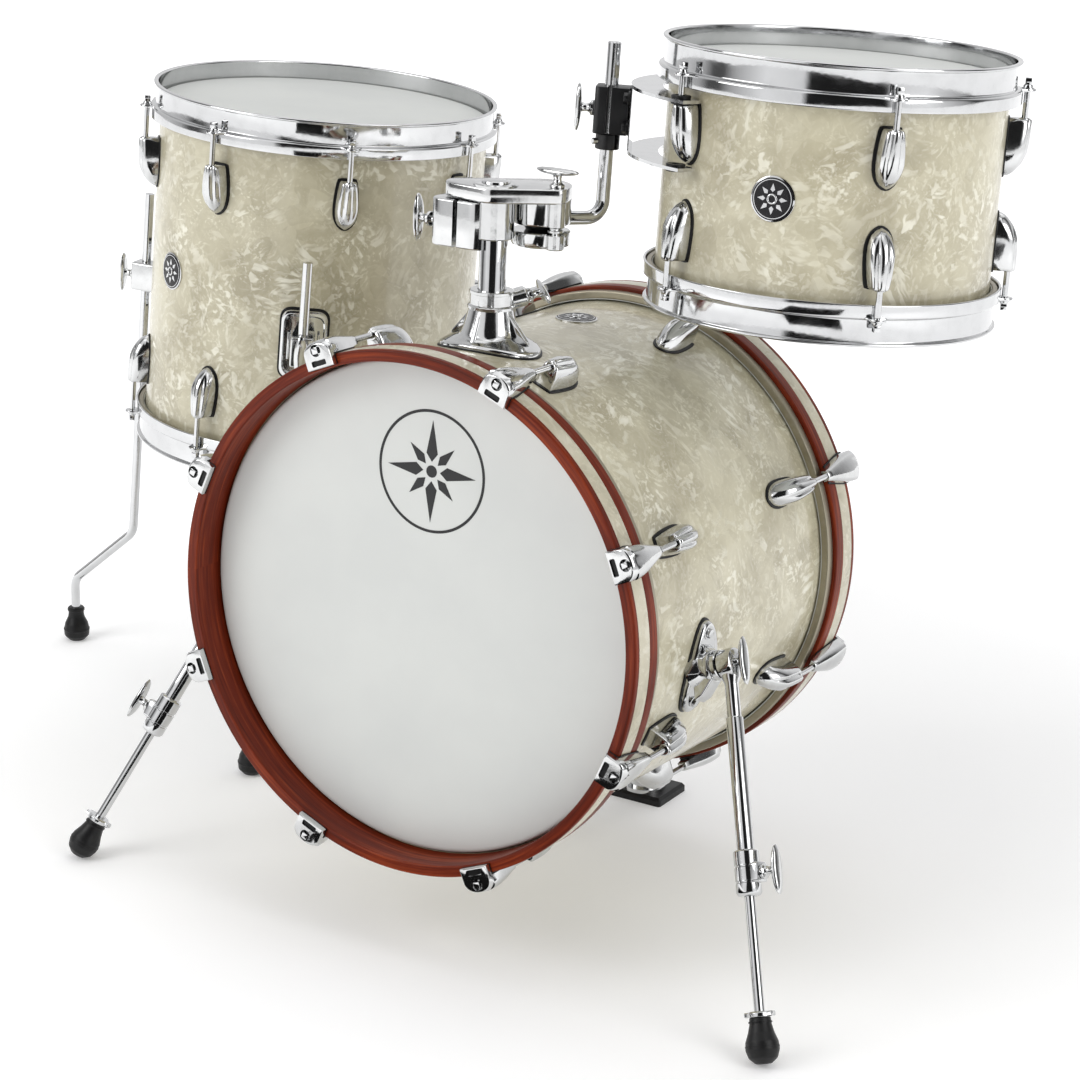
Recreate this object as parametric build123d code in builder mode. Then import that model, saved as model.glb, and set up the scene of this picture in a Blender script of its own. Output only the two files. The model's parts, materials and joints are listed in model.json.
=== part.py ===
"""Acoustic drum kit: bass drum, tom on an arm, and floor tom on three legs.

Millimetres. +Z is up, the audience is at -Y, the drummer at +Y, and +X is the audience's right.
The origin is on the floor, under the middle of the riser's foot behind the bass drum.
"""
from build123d import *
from math import cos, radians, sin, sqrt
import os

os.makedirs("parts", exist_ok=True)

# ---------------------------------------------------------------- driving dimensions
BASS_R = 228.6            # 18 x 14 in bass drum
BASS_DEPTH = 355.6
BASS_CENTRE = (0, -247.5, 323)
BASS_PITCH = 2.5          # front raised, degrees
TOM_R = 152.4             # 12 x 8 in tom
TOM_DEPTH = 203.2
FLOOR_R = 177.8           # 14 x 14 in floor tom
FLOOR_DEPTH = 355.6
FLOOR_RIM = (-474, 86.5, 680)   # middle of the top rim
FLOOR_LEAN = (0.057, 0.043)     # slope of the axis towards +X and +Y
FLOOR_TURN = 44.1         # world angle of the floor tom's angle 0

PLY = 7                   # shell wall with its bonded wrap
RIM_UP = 19               # metal rim above the bearing edge
FILM = 0.4                # drum head film
GASKET = 1.5

HOOP_IN = 232             # wooden bass hoop
HOOP_OUT = 243
HOOP_WIDE = 38
HOOP_MID = 14.2           # its middle, past the bearing edge

BASS_LUGS = [22.5 + 45 * k for k in range(8)]
TOM_LUGS = [-144 + 72 * k for k in range(5)]
FLOOR_LUGS = [45 * k for k in range(8)]
BASS_ROD_OUT = 21.4       # tension rod, out from the shell
TOM_ROD_OUT = 14.6
FLOOR_ROD_OUT = 15.2
BASS_LUG_IN = 73.8        # lug middle, in from the bearing edge
TOM_LUG_IN = 59
FLOOR_LUG_IN = 68

POST_FORWARD = 80         # post, forward of the bass drum's middle
POST_R = 12.7
POST_TOP = 151
POST_BOTTOM = -110
BASE_TOP = 50
ARM_YAW = 58              # arm direction about the post
ARM_PITCH = 1.7
BALL_OUT = 47             # ball clamp, out from the post
BALL_UP = 114
BALL_R = 17
CUP_R = 27
ROD_OUT = 61.5            # upright of the arm, out from the ball
ROD_R = 6.35
ROD_TOP = 160
ROD_BEND = 16
LOCK_LOW = 63
LOCK_HIGH = 77.5
TOM_REACH = 204           # arm upright to tom axis
TOM_SWING = -32.4
TOM_MID_UP = 52.4         # tom middle above the arm's corner

SPUR_ANGLE = -5           # spur hub on the bass drum
SPUR_HUB_R = 263
SPUR_HUB_Z = 74
SPUR_TIP = (385, -463, 3.7)
SPUR_NECK_R = 6.3
SPUR_NECK = 50
SPUR_TUBE_R = 7.75
SPUR_TUBE = 208
SPUR_ROD_R = 4.75
SPUR_FOOT = 40
SPUR_FOOT_R = 15

LEG_R = 5.25
LEG_OUT = 204             # leg rod, out from the floor tom's axis
LEG_TOP = 51.8
BRACKET_MID = -42
LEGS = [(-101, -77), (149, -178), (22, 84)]   # bracket angle, foot heading in the world
LEG_REACH = 88
LEG_BEND_Z = 150
LEG_KNEE_Z = 76
FOOT_TALL = 41
FOOT_R = 15

FIT = 0.08                # radial running clearance
GAP = 0.4                 # clearance between pieces that pass

WING_LONG = 44
WING_WIDE = 15
WING_NECK = 13


# ---------------------------------------------------------------- placing and shared shapes
def save(builder, name):
    """Label a finished piece and write it."""
    builder.part.label = name
    export_step(builder.part, f"parts/{name}.step")


def polar(plane, angle, radius, height):
    """World point at an angle about a plane's axis."""
    a = radians(angle)
    return plane.from_local_coords((radius * cos(a), radius * sin(a), height))


def turned_dir(plane, angle):
    """Unit vector at an angle about a plane's axis."""
    return (polar(plane, angle, 1, 0) - plane.origin).normalized()


def side(plane, angle, radius, height):
    """Plane on a drum's side: z points out, y along the drum's axis."""
    out = turned_dir(plane, angle)
    return Plane(polar(plane, angle, radius, height), x_dir=plane.z_dir.cross(out), z_dir=out)


def rims(plane, depth):
    """Planes at the two bearing edges, z pointing out of the drum."""
    top = plane.offset(depth / 2)
    bottom = Plane(plane.offset(-depth / 2).origin, x_dir=plane.x_dir, z_dir=-plane.z_dir)
    return [top, bottom]


def disc(plane, radius, low, high, mode=Mode.ADD):
    """Cylinder on a plane's axis, between two heights."""
    with BuildSketch(plane.offset(low)) as round_face:
        Circle(radius)
    extrude(round_face.sketch, amount=high - low, mode=mode)


def block(plane, x_range, y_range, low, high, corner=0.0, mode=Mode.ADD):
    """Block with optional round corners, between two heights over a plane."""
    wide = x_range[1] - x_range[0]
    deep = y_range[1] - y_range[0]
    with BuildSketch(plane.offset(low)) as face:
        with Locations(((x_range[0] + x_range[1]) / 2, (y_range[0] + y_range[1]) / 2)):
            if corner:
                RectangleRounded(wide, deep, corner)
            else:
                Rectangle(wide, deep)
    extrude(face.sketch, amount=high - low, mode=mode)


def section(plane):
    """Plane through a drum's axis: x is the radius, y the height."""
    return Plane(plane.origin, x_dir=plane.x_dir, z_dir=-plane.y_dir)


def turned(plane, points):
    """Turn a closed outline of (radius, height) points about a plane's axis."""
    with BuildSketch(section(plane)) as profile:
        with BuildLine():
            Polyline(*points, close=True)
        make_face()
    revolve(profile.sketch, axis=Axis(plane.origin, plane.z_dir))


def wing_bolt(seat, name, shank_r, shank):
    """T-headed bolt: its seat plane's z points out along the bolt."""
    with BuildPart() as bolt:
        disc(seat, shank_r, -shank, 2)
        disc(seat, 6, GAP, 4)
        disc(seat, 3.8, 2, WING_NECK)
        with BuildSketch(seat.offset(WING_NECK - 1)):
            Ellipse(WING_LONG / 2, WING_WIDE / 2)
        extrude(amount=5)
        fillet(bolt.faces().sort_by(Axis(seat.origin, seat.z_dir))[-1].edges(), 2)
    save(bolt, name)


def pipe_path(points, bend, radius, name):
    """Round bar through points with equal bends."""
    with BuildPart() as bar:
        with BuildLine() as line:
            FilletPolyline(*points, radius=bend)
        with BuildSketch(Plane(line.line @ 0, z_dir=line.line % 0)):
            Circle(radius)
        sweep(path=line.line)
    save(bar, name)


# ---------------------------------------------------------------- drums: shells, heads, metal hoops
def shell(plane, radius, depth, name, vent):
    """Ply shell with bearing edges and one air vent."""
    half = depth / 2
    with BuildPart() as body:
        turned(plane, [(radius - PLY, -half + 5.5), (radius - 1.5, -half), (radius, -half + 1.5),
                       (radius, half - 1.5), (radius - 1.5, half), (radius - PLY, half - 5.5)])
        disc(side(plane, vent[0], radius, vent[1]), 5, -20, 5, Mode.SUBTRACT)
        if name == "bass_shell":
            disc(post, POST_R + 3, -30, 5, Mode.SUBTRACT)
    save(body, name)


def metal_hoops(plane, radius, depth, rod_out, angles, name):
    """Two flanged metal rims with an ear at each tension rod."""
    with BuildPart() as hoops:
        for rim in rims(plane, depth):
            turned(rim, [(radius + 3.2, -8.4), (radius + 3.2, RIM_UP), (radius + 8, RIM_UP),
                         (radius + 8, RIM_UP - 2.4), (radius + 5.5, RIM_UP - 2.4), (radius + 5.5, -6),
                         (radius + 10.4, -6), (radius + 10.4, -19), (radius + 8.2, -19),
                         (radius + 8.2, -8.4)])
            ear = rim.offset(-8.4)
            for angle in angles:
                seat = Plane(ear.origin, x_dir=turned_dir(rim, angle), z_dir=rim.z_dir)
                block(seat, (radius + 6, radius + rod_out), (-7.5, 7.5), 0, 2.4)
                hub = Plane(polar(ear, angle, radius + rod_out, 0), z_dir=rim.z_dir)
                disc(hub, 7.5, 0, 2.4)
                disc(hub, 3.2, -14, 5, Mode.SUBTRACT)
    save(hoops, name)


def metal_heads(plane, radius, depth, name):
    """Film with its collar and flesh hoop, at both ends."""
    with BuildPart() as heads:
        for rim in rims(plane, depth):
            turned(rim, [(0, 0), (radius + 0.4, 0), (radius + 1.5, -9), (radius + 1.5, -17),
                         (radius + 7.6, -17), (radius + 7.6, -8.4), (radius + 2.7, -8.4),
                         (radius + 1, FILM), (0, FILM)])
    save(heads, name)


def lug_outline(grow=0.0, long=52):
    """Bullet outline: flat towards the rim at +Y, round towards the middle."""
    half = 12 + grow
    top = long / 2 + grow
    with BuildLine() as bullet:
        Line((-half, top), (half, top))
        Line((half, top), (half, -long / 2 + 14))
        ThreePointArc((half, -long / 2 + 14), (0, -long / 2 - grow), (-half, -long / 2 + 14))
        Line((-half, -long / 2 + 14), (-half, top))
    make_face(bullet.edges())


def lug(radius, rod_out):
    """One lug on the XY plane, z out of the shell, hollowed to the shell's curve."""
    high = rod_out + 7
    with BuildPart() as body:
        with BuildSketch(Plane.XY.offset(-3)):
            lug_outline()
        extrude(amount=high + 3)
        with BuildSketch(Plane.XZ.offset(-30)):
            with BuildLine():
                Polyline((-12, -4), (-12, 6), (-7, high - 3), (-4.5, high), (4.5, high), (7, high - 3),
                         (12, 6), (12, -4), close=True)
            make_face()
        extrude(amount=60, mode=Mode.INTERSECT)
        with BuildSketch(Plane.YZ.offset(-15)):
            with BuildLine():
                Line((26, -4), (26, high - 2))
                Line((26, high - 2), (-4, high))
                ThreePointArc((-4, high), (-20, 0.62 * high), (-26, 3))
                Line((-26, 3), (-26, -4))
                Line((-26, -4), (26, -4))
            make_face()
        extrude(amount=30, mode=Mode.INTERSECT)
        with BuildSketch(Plane.XZ.offset(-26)):
            with Locations((0, rod_out)):
                Circle(3.2)
        extrude(amount=34, mode=Mode.SUBTRACT)
        with BuildSketch(Plane.XZ.offset(-40)):
            with Locations((0, -radius)):
                Circle(radius + GASKET)
        extrude(amount=80, mode=Mode.SUBTRACT)
    return body.part


def lugs(plane, radius, depth, rod_out, lug_in, angles, name):
    """All the lugs of a drum."""
    one = lug(radius, rod_out)
    places = [side(rim, angle, radius, -lug_in) for rim in rims(plane, depth) for angle in angles]
    with BuildPart() as group:
        with Locations(*places):
            add(one)
    save(group, name)


def lug_gaskets(plane, radius, depth, lug_in, angles):
    """Gasket under every lug, cut to the shell's curve by the caller."""
    for rim in rims(plane, depth):
        for angle in angles:
            with BuildSketch(side(rim, angle, radius, -lug_in).offset(-4)) as border:
                lug_outline(grow=1.6)
            extrude(border.sketch, amount=9)


def skin(plane, radius, depth, thick=GASKET):
    """Keep only what lies within a thin skin on the shell."""
    with BuildSketch(plane.offset(-depth / 2)) as ring:
        Circle(radius + thick)
        Circle(radius, mode=Mode.SUBTRACT)
    extrude(ring.sketch, amount=depth, mode=Mode.INTERSECT)


def metal_rods(plane, radius, depth, rod_out, lug_in, angles, name):
    """Square-headed tension rods through the hoop ears into the lugs."""
    with BuildPart() as rods:
        for rim in rims(plane, depth):
            for angle in angles:
                seat = Plane(polar(rim, angle, radius + rod_out, -6), x_dir=turned_dir(rim, angle),
                             z_dir=rim.z_dir)
                disc(seat, 2.9, -lug_in + 26 + 6 - 20, 0)
                disc(seat, 5.5, 0, 1.2)
                disc(seat, 4.3, 1.2, 3.6)
                block(seat, (-3, 3), (-3, 3), 3.6, 9.5)
    save(rods, name)


def badge(place, plane, radius, depth, name):
    """Round badge around an air vent."""
    with BuildPart() as plate:
        with BuildSketch(place.offset(-6)):
            Circle(20)
            Circle(4.2, mode=Mode.SUBTRACT)
        extrude(amount=12)
        skin(plane, radius, depth, 1.8)
    save(plate, name)


# ---------------------------------------------------------------- frames of the kit
pitch = radians(BASS_PITCH)
bass = Plane(BASS_CENTRE, x_dir=(1, 0, 0), z_dir=(0, -cos(pitch), sin(pitch)))
post = Plane(bass.from_local_coords((0, BASS_R, POST_FORWARD)), x_dir=(1, 0, 0), z_dir=bass.y_dir)
arm_flat = turned_dir(post, ARM_YAW)
dip = radians(ARM_PITCH)
arm = Plane(polar(post, ARM_YAW, BALL_OUT, BALL_UP),
            x_dir=arm_flat * cos(dip) - post.z_dir * sin(dip),
            z_dir=post.z_dir * cos(dip) + arm_flat * sin(dip))
upright = Plane(arm.from_local_coords((ROD_OUT, 0, 0)), x_dir=turned_dir(arm, TOM_SWING), z_dir=arm.z_dir)
tom = Plane(upright.from_local_coords((TOM_REACH, 0, TOM_MID_UP)), x_dir=upright.x_dir, z_dir=arm.z_dir)

floor_axis = Vector(FLOOR_LEAN[0], FLOOR_LEAN[1], 1).normalized()
floor_mid = Vector(*FLOOR_RIM) - floor_axis * (FLOOR_DEPTH / 2 + RIM_UP)
floor_tom = Plane(floor_mid, x_dir=(cos(radians(FLOOR_TURN)), sin(radians(FLOOR_TURN)), 0), z_dir=floor_axis)

BASS_BADGE = (90, -72)
TOM_BADGE = (-108, 0)
FLOOR_BADGE = (-157.5, 6)

# ---------------------------------------------------------------- bass drum
shell(bass, BASS_R, BASS_DEPTH, "bass_shell", BASS_BADGE)
lugs(bass, BASS_R, BASS_DEPTH, BASS_ROD_OUT, BASS_LUG_IN, BASS_LUGS, "bass_lugs")
badge(side(bass, BASS_BADGE[0], BASS_R, BASS_BADGE[1]), bass, BASS_R, BASS_DEPTH, "bass_badge")

INLAY_MID = 4             # inlay, past the hoop's middle
INLAY_WIDE = 18
INLAY_DEEP = 1


def bass_head(rim, name):
    """Film, collar and flesh hoop of one bass drum head."""
    back = HOOP_MID - HOOP_WIDE / 2
    with BuildPart() as head:
        turned(rim, [(0, 0), (BASS_R + 0.3, 0), (BASS_R + 2, back - 0.5), (BASS_R + 2.4, back - 10),
                     (BASS_R + 10, back - 10), (BASS_R + 10, back), (BASS_R + 3, back),
                     (BASS_R + 0.8, FILM), (0, FILM)])
    save(head, name)


front_rim, rear_rim = rims(bass, BASS_DEPTH)

with BuildPart() as bass_hoops:
    for rim in (front_rim, rear_rim):
        with BuildSketch(rim.offset(HOOP_MID - HOOP_WIDE / 2)):
            Circle(HOOP_OUT)
            Circle(HOOP_IN, mode=Mode.SUBTRACT)
        extrude(amount=HOOP_WIDE)
    fillet(bass_hoops.edges().filter_by(GeomType.CIRCLE), 1.5)
    for rim in (front_rim, rear_rim):
        with BuildSketch(rim.offset(HOOP_MID + INLAY_MID - INLAY_WIDE / 2)):
            Circle(HOOP_OUT + 1)
            Circle(HOOP_OUT - INLAY_DEEP, mode=Mode.SUBTRACT)
        extrude(amount=INLAY_WIDE, mode=Mode.SUBTRACT)
save(bass_hoops, "bass_hoops")

bass_head(front_rim, "bass_front_head")
bass_head(rear_rim, "bass_batter_head")

with BuildPart() as bass_hoop_inlays:
    for rim in (front_rim, rear_rim):
        with BuildSketch(rim.offset(HOOP_MID + INLAY_MID - INLAY_WIDE / 2)):
            Circle(HOOP_OUT)
            Circle(HOOP_OUT - INLAY_DEEP, mode=Mode.SUBTRACT)
        extrude(amount=INLAY_WIDE)
save(bass_hoop_inlays, "bass_hoop_inlays")

PAD = 0.8                 # rubber between claw and hoop
CLAW_WIDE = 30
CLAW_ROD = BASS_R + BASS_ROD_OUT - HOOP_OUT
claw_places = [side(rim, a, HOOP_OUT, HOOP_MID) for rim in (front_rim, rear_rim) for a in BASS_LUGS]


def claw():
    """One claw on the XY plane: y towards the drum's open end, z out from the hoop."""
    face = HOOP_WIDE / 2 + PAD
    with BuildPart() as hook:
        with BuildSketch(Plane.YZ.offset(-CLAW_WIDE / 2)):
            with BuildLine():
                Polyline((face, -8.5), (face, PAD), (-19, PAD), (-29, CLAW_ROD - 4.5), (-32, CLAW_ROD - 4.5),
                         (-32, CLAW_ROD + 4.5), (-20, 14.5), (18, 15.5), (face + 5, 11), (face + 6, 4),
                         (face + 6, -8.5), close=True)
            make_face()
        extrude(amount=CLAW_WIDE)
        with BuildSketch(Plane.XY.offset(-12)):
            with BuildLine():
                Polyline((-15, face + 6), (15, face + 6), (15, -12), (8, -32), (-8, -32), (-15, -12),
                         close=True)
            make_face()
        extrude(amount=32, mode=Mode.INTERSECT)
        ridge = hook.edges().filter_by(lambda e: e.center().Z > 10 and abs(e.center().X) > 5)
        fillet(ridge, 3)
        slot = Plane((0, face + 6, CLAW_ROD), x_dir=(1, 0, 0), z_dir=(0, 1, 0))
        block(slot, (-7.5, 7.5), (-4, 4), -9, 0, mode=Mode.SUBTRACT)
        disc(slot, 3.3, -60, -5, Mode.SUBTRACT)
    return hook.part


one_claw = claw()
with BuildPart() as bass_claws:
    with Locations(*claw_places):
        add(one_claw)
save(bass_claws, "bass_claws")

with BuildPart() as bass_tension_rods:
    for place in claw_places:
        along = Plane(place.from_local_coords((0, 0, CLAW_ROD)), x_dir=place.x_dir, z_dir=place.y_dir)
        floor_of_slot = HOOP_WIDE / 2 + PAD - 3
        disc(along, 3, -BASS_LUG_IN - HOOP_MID + 4, floor_of_slot)
        disc(along, 3.8, floor_of_slot, floor_of_slot + 1)
        block(along, (-3, 3), (-3, 3), floor_of_slot + 1, floor_of_slot + 7.5)
save(bass_tension_rods, "bass_tension_rods")

# ---------------------------------------------------------------- tom
shell(tom, TOM_R, TOM_DEPTH, "tom_shell", TOM_BADGE)
metal_hoops(tom, TOM_R, TOM_DEPTH, TOM_ROD_OUT, TOM_LUGS, "tom_hoops")
metal_heads(tom, TOM_R, TOM_DEPTH, "tom_heads")
lugs(tom, TOM_R, TOM_DEPTH, TOM_ROD_OUT, TOM_LUG_IN, TOM_LUGS, "tom_lugs")
metal_rods(tom, TOM_R, TOM_DEPTH, TOM_ROD_OUT, TOM_LUG_IN, TOM_LUGS, "tom_tension_rods")
badge(side(tom, TOM_BADGE[0], TOM_R, TOM_BADGE[1]), tom, TOM_R, TOM_DEPTH, "tom_badge")

MOUNT_LOW = 14.6          # inner faces of the suspension's two flanges, about the tom's middle
MOUNT_HIGH = 70.6
MOUNT_SHEET = 3
MOUNT_FACE = 186          # outer face where the clamp bolts on
MOUNT_WALL = 24           # half width of the wall behind the clamp
HELD_LUGS = (144, 216)


def crescent(inner=157):
    """Outline of the suspension's flanges, bulging from lug to lug."""
    def at(angle, radius):
        return (radius * cos(radians(angle)), radius * sin(radians(angle)))
    with BuildLine() as edge:
        ThreePointArc(at(139, 175), at(180, MOUNT_FACE), at(221, 175))
        Line(at(221, 175), at(221, inner))
        ThreePointArc(at(221, inner), at(180, inner), at(139, inner))
        Line(at(139, inner), at(139, 175))
    make_face(edge.edges())


with BuildPart() as tom_suspension:
    for low in (MOUNT_LOW - MOUNT_SHEET, MOUNT_HIGH):
        with BuildSketch(tom.offset(low)):
            crescent()
            for angle in HELD_LUGS:
                a = radians(angle)
                with Locations(((TOM_R + TOM_ROD_OUT) * cos(a), (TOM_R + TOM_ROD_OUT) * sin(a))):
                    Circle(3.4, mode=Mode.SUBTRACT)
        extrude(amount=MOUNT_SHEET)
    with BuildSketch(tom.offset(MOUNT_LOW)):
        crescent(inner=172)
        with Locations((-MOUNT_FACE, 0)):
            Rectangle(4 * MOUNT_SHEET, 2 * MOUNT_WALL, mode=Mode.INTERSECT)
        with Locations((-MOUNT_FACE + 5 * MOUNT_SHEET, 0)):
            Rectangle(8 * MOUNT_SHEET, 2 * MOUNT_WALL + 2, mode=Mode.SUBTRACT)
    extrude(amount=MOUNT_HIGH - MOUNT_LOW)
save(tom_suspension, "tom_suspension")

CLAMP_LOW = 25.5
CLAMP_HIGH = 68
CLAMP_OUT = 217.5
clamp_turn = Plane(tom.origin, x_dir=-tom.x_dir, z_dir=tom.z_dir)
with BuildPart() as tom_mount_clamp:
    block(clamp_turn, (MOUNT_FACE, CLAMP_OUT), (-15, 15), CLAMP_LOW, CLAMP_HIGH, 5)
    block(clamp_turn, (MOUNT_FACE, MOUNT_FACE + 6), (-15, 15), CLAMP_LOW, CLAMP_HIGH)
    rod_place = Plane(upright.origin, z_dir=upright.z_dir)
    disc(rod_place, ROD_R + FIT, -20, 200, Mode.SUBTRACT)
    seat = side(clamp_turn, 0, CLAMP_OUT, (CLAMP_LOW + CLAMP_HIGH) / 2)
    disc(seat, 4 + FIT, -20, 5, Mode.SUBTRACT)
save(tom_mount_clamp, "tom_mount_clamp")
wing_bolt(seat, "tom_mount_wing_bolt", 4, CLAMP_OUT - TOM_REACH - ROD_R - 0.6)
tom_wing_seat = seat

with BuildPart() as tom_gaskets:
    lug_gaskets(tom, TOM_R, TOM_DEPTH, TOM_LUG_IN, TOM_LUGS)
    skin(tom, TOM_R, TOM_DEPTH)
    lug_low = TOM_DEPTH / 2 - TOM_LUG_IN - 26
    lug_high = lug_low + 52
    for angle in HELD_LUGS:
        hub = Plane(polar(tom, angle, TOM_R + TOM_ROD_OUT, 0), z_dir=tom.z_dir)
        for low, high in ((MOUNT_LOW, lug_low), (lug_high, MOUNT_HIGH)):
            with BuildSketch(hub.offset(low)):
                Circle(9)
                Circle(3.4, mode=Mode.SUBTRACT)
            extrude(amount=high - low)
save(tom_gaskets, "tom_gaskets")

# ---------------------------------------------------------------- arm, holder and post
with BuildPart() as l_rod:
    with BuildLine(Plane(arm.origin, x_dir=arm.x_dir, z_dir=-arm.y_dir)) as bend_line:
        FilletPolyline((-15, 0), (ROD_OUT, 0), (ROD_OUT, ROD_TOP), radius=ROD_BEND)
    with BuildSketch(Plane(bend_line.line @ 0, z_dir=bend_line.line % 0)):
        Circle(ROD_R)
    sweep(path=bend_line.line)
    ends = [min(l_rod.faces(), key=lambda f: (f.center() - bend_line.line @ t).length) for t in (0, 1)]
    chamfer([edge for face in ends for edge in face.edges()], 1)
save(l_rod, "l_rod")

with BuildPart() as memory_lock:
    with BuildSketch(upright.offset(LOCK_LOW)):
        Circle(11)
        Circle(ROD_R + FIT, mode=Mode.SUBTRACT)
    extrude(amount=LOCK_HIGH - LOCK_LOW)
    lock_side = side(upright, 180, 10, (LOCK_LOW + LOCK_HIGH) / 2)
    disc(lock_side, 3, -1, 6)
save(memory_lock, "memory_lock")

bore_r = ROD_R + FIT
bore_half = sqrt(BALL_R ** 2 - bore_r ** 2)
with BuildPart() as holder_ball:
    with BuildSketch(section(Plane(arm.origin, x_dir=arm.y_dir, z_dir=arm.x_dir))):
        with BuildLine():
            ThreePointArc((bore_r, -bore_half), (BALL_R, 0), (bore_r, bore_half))
            Line((bore_r, bore_half), (bore_r, -bore_half))
        make_face()
    revolve(axis=Axis(arm.origin, arm.x_dir))
save(holder_ball, "holder_ball")

PLATE_LOW = 132           # holder heights above the shell
PLATE_HIGH = 146
CUP_LOW = 110
CAP_HIGH = 104
CAP_LOW = 90
SLEEVE_R = 18
BOLT_YAW = -30            # right clamp bolt, about the ball
BOLT_OUT = 27
BOLT_R = 3.5
LEFT_IN = 26              # left clamp along -X: body, split, cap
LEFT_GAP = 31
LEFT_OUT = 58
LEFT_WIDE = 44
LEFT_LOW = 88
LEFT_HIGH = 131
LEFT_UP = 109.5
LEFT_BOLT_Y = -14
RECEIVER_X = -28.5        # upright bore of the left clamp

cup = Plane(polar(post, ARM_YAW, BALL_OUT, 0), x_dir=arm_flat, z_dir=post.z_dir)
bolt_local = (BALL_OUT * cos(radians(ARM_YAW)) + BOLT_OUT * cos(radians(BOLT_YAW)),
              BALL_OUT * sin(radians(ARM_YAW)) + BOLT_OUT * sin(radians(BOLT_YAW)))
right_bolt = Plane(post.from_local_coords((*bolt_local, 0)), x_dir=turned_dir(post, -5), z_dir=post.z_dir)
left_axis = Plane(post.from_local_coords((0, 0, LEFT_UP)), x_dir=post.y_dir, z_dir=-post.x_dir)


def left_barrel(near, far):
    """Upright barrel of the left clamp between two distances from the post."""
    with BuildSketch(post.offset(LEFT_LOW)) as barrel:
        with Locations((-LEFT_OUT / 2, 0)):
            RectangleRounded(LEFT_OUT, LEFT_WIDE, 14)
        with Locations((-(near + far) / 2, 0)):
            Rectangle(far - near, LEFT_WIDE, mode=Mode.INTERSECT)
    extrude(barrel.sketch, amount=LEFT_HIGH - LEFT_LOW)


with BuildPart() as holder_body:
    disc(post, SLEEVE_R, 98, PLATE_HIGH)
    with BuildSketch(post.offset(PLATE_LOW)):
        for centre, reach in (((0, 0), 21), (bolt_local, 9)):
            with Locations(centre):
                Circle(reach)
        with Locations((BALL_OUT * cos(radians(ARM_YAW)), BALL_OUT * sin(radians(ARM_YAW)))):
            Circle(CUP_R)
        with Locations((-36, 0)):
            Circle(15)
        make_hull()
    extrude(amount=PLATE_HIGH - PLATE_LOW)
    fillet(holder_body.faces().sort_by(Axis(post.origin, post.z_dir))[-1].edges(), 2.5)
    disc(cup, CUP_R, CUP_LOW, PLATE_LOW)
    disc(right_bolt, 8, CUP_LOW, PLATE_LOW)
    left_barrel(4, LEFT_IN)
    block(post, (-LEFT_IN, 0), (-12, 12), LEFT_HIGH, PLATE_LOW)
    with Locations(arm):
        Sphere(BALL_R + FIT, mode=Mode.SUBTRACT)
    block(cup, (0, CUP_R + 5), (-16, 16), CUP_LOW - 1, 124, mode=Mode.SUBTRACT)
    with Locations(arm):
        Sphere(BALL_R + FIT, mode=Mode.SUBTRACT)
    disc(right_bolt, BOLT_R + FIT, 80, 150, Mode.SUBTRACT)
    disc(post, POST_R + FIT, 80, 160, Mode.SUBTRACT)
    left_bolt = Plane(left_axis.from_local_coords((LEFT_BOLT_Y, 0, 0)), x_dir=post.z_dir, z_dir=-post.x_dir)
    disc(left_bolt, BOLT_R + FIT, 14, 30, Mode.SUBTRACT)
    receiver = Plane(post.from_local_coords((RECEIVER_X, 0, 0)), z_dir=post.z_dir)
    disc(receiver, ROD_R + FIT, 80, 160, Mode.SUBTRACT)
save(holder_body, "holder_body")

with BuildPart() as holder_caps:
    disc(cup, CUP_R, CAP_LOW, CAP_HIGH)
    disc(right_bolt, 8, CAP_LOW, CAP_HIGH)
    with Locations(arm):
        Sphere(BALL_R + FIT, mode=Mode.SUBTRACT)
    disc(right_bolt, BOLT_R + FIT, 80, 150, Mode.SUBTRACT)
    left_barrel(LEFT_GAP, LEFT_OUT)
    disc(left_bolt, BOLT_R + FIT, 30, 70, Mode.SUBTRACT)
    disc(receiver, ROD_R + FIT, 80, 160, Mode.SUBTRACT)
save(holder_caps, "holder_caps")

right_seat = right_bolt.offset(PLATE_HIGH)
left_seat = left_bolt.offset(LEFT_OUT)
wing_bolt(right_seat, "holder_right_bolt", BOLT_R, PLATE_HIGH - CAP_LOW - 2)
wing_bolt(left_seat, "holder_left_bolt", BOLT_R, LEFT_OUT - 16)

with BuildPart() as tom_post:
    with BuildSketch(post.offset(POST_BOTTOM)):
        Circle(POST_R)
        Circle(POST_R - 2, mode=Mode.SUBTRACT)
    extrude(amount=POST_TOP - POST_BOTTOM - 4)
    disc(post, POST_R, POST_TOP - 6, POST_TOP)
    fillet(tom_post.faces().sort_by(Axis(post.origin, post.z_dir))[-1].edges(), 3)
save(tom_post, "tom_post")

BASE_YAW = 45             # clamp bolt of the base
BASE_LIFT = 15
base_turn = Plane(post.origin, x_dir=turned_dir(post, BASE_YAW), z_dir=post.z_dir)


def base_outline(grow=0.0):
    """Oval foot of the post base."""
    Ellipse(50 + grow, 36 + grow)


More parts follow.
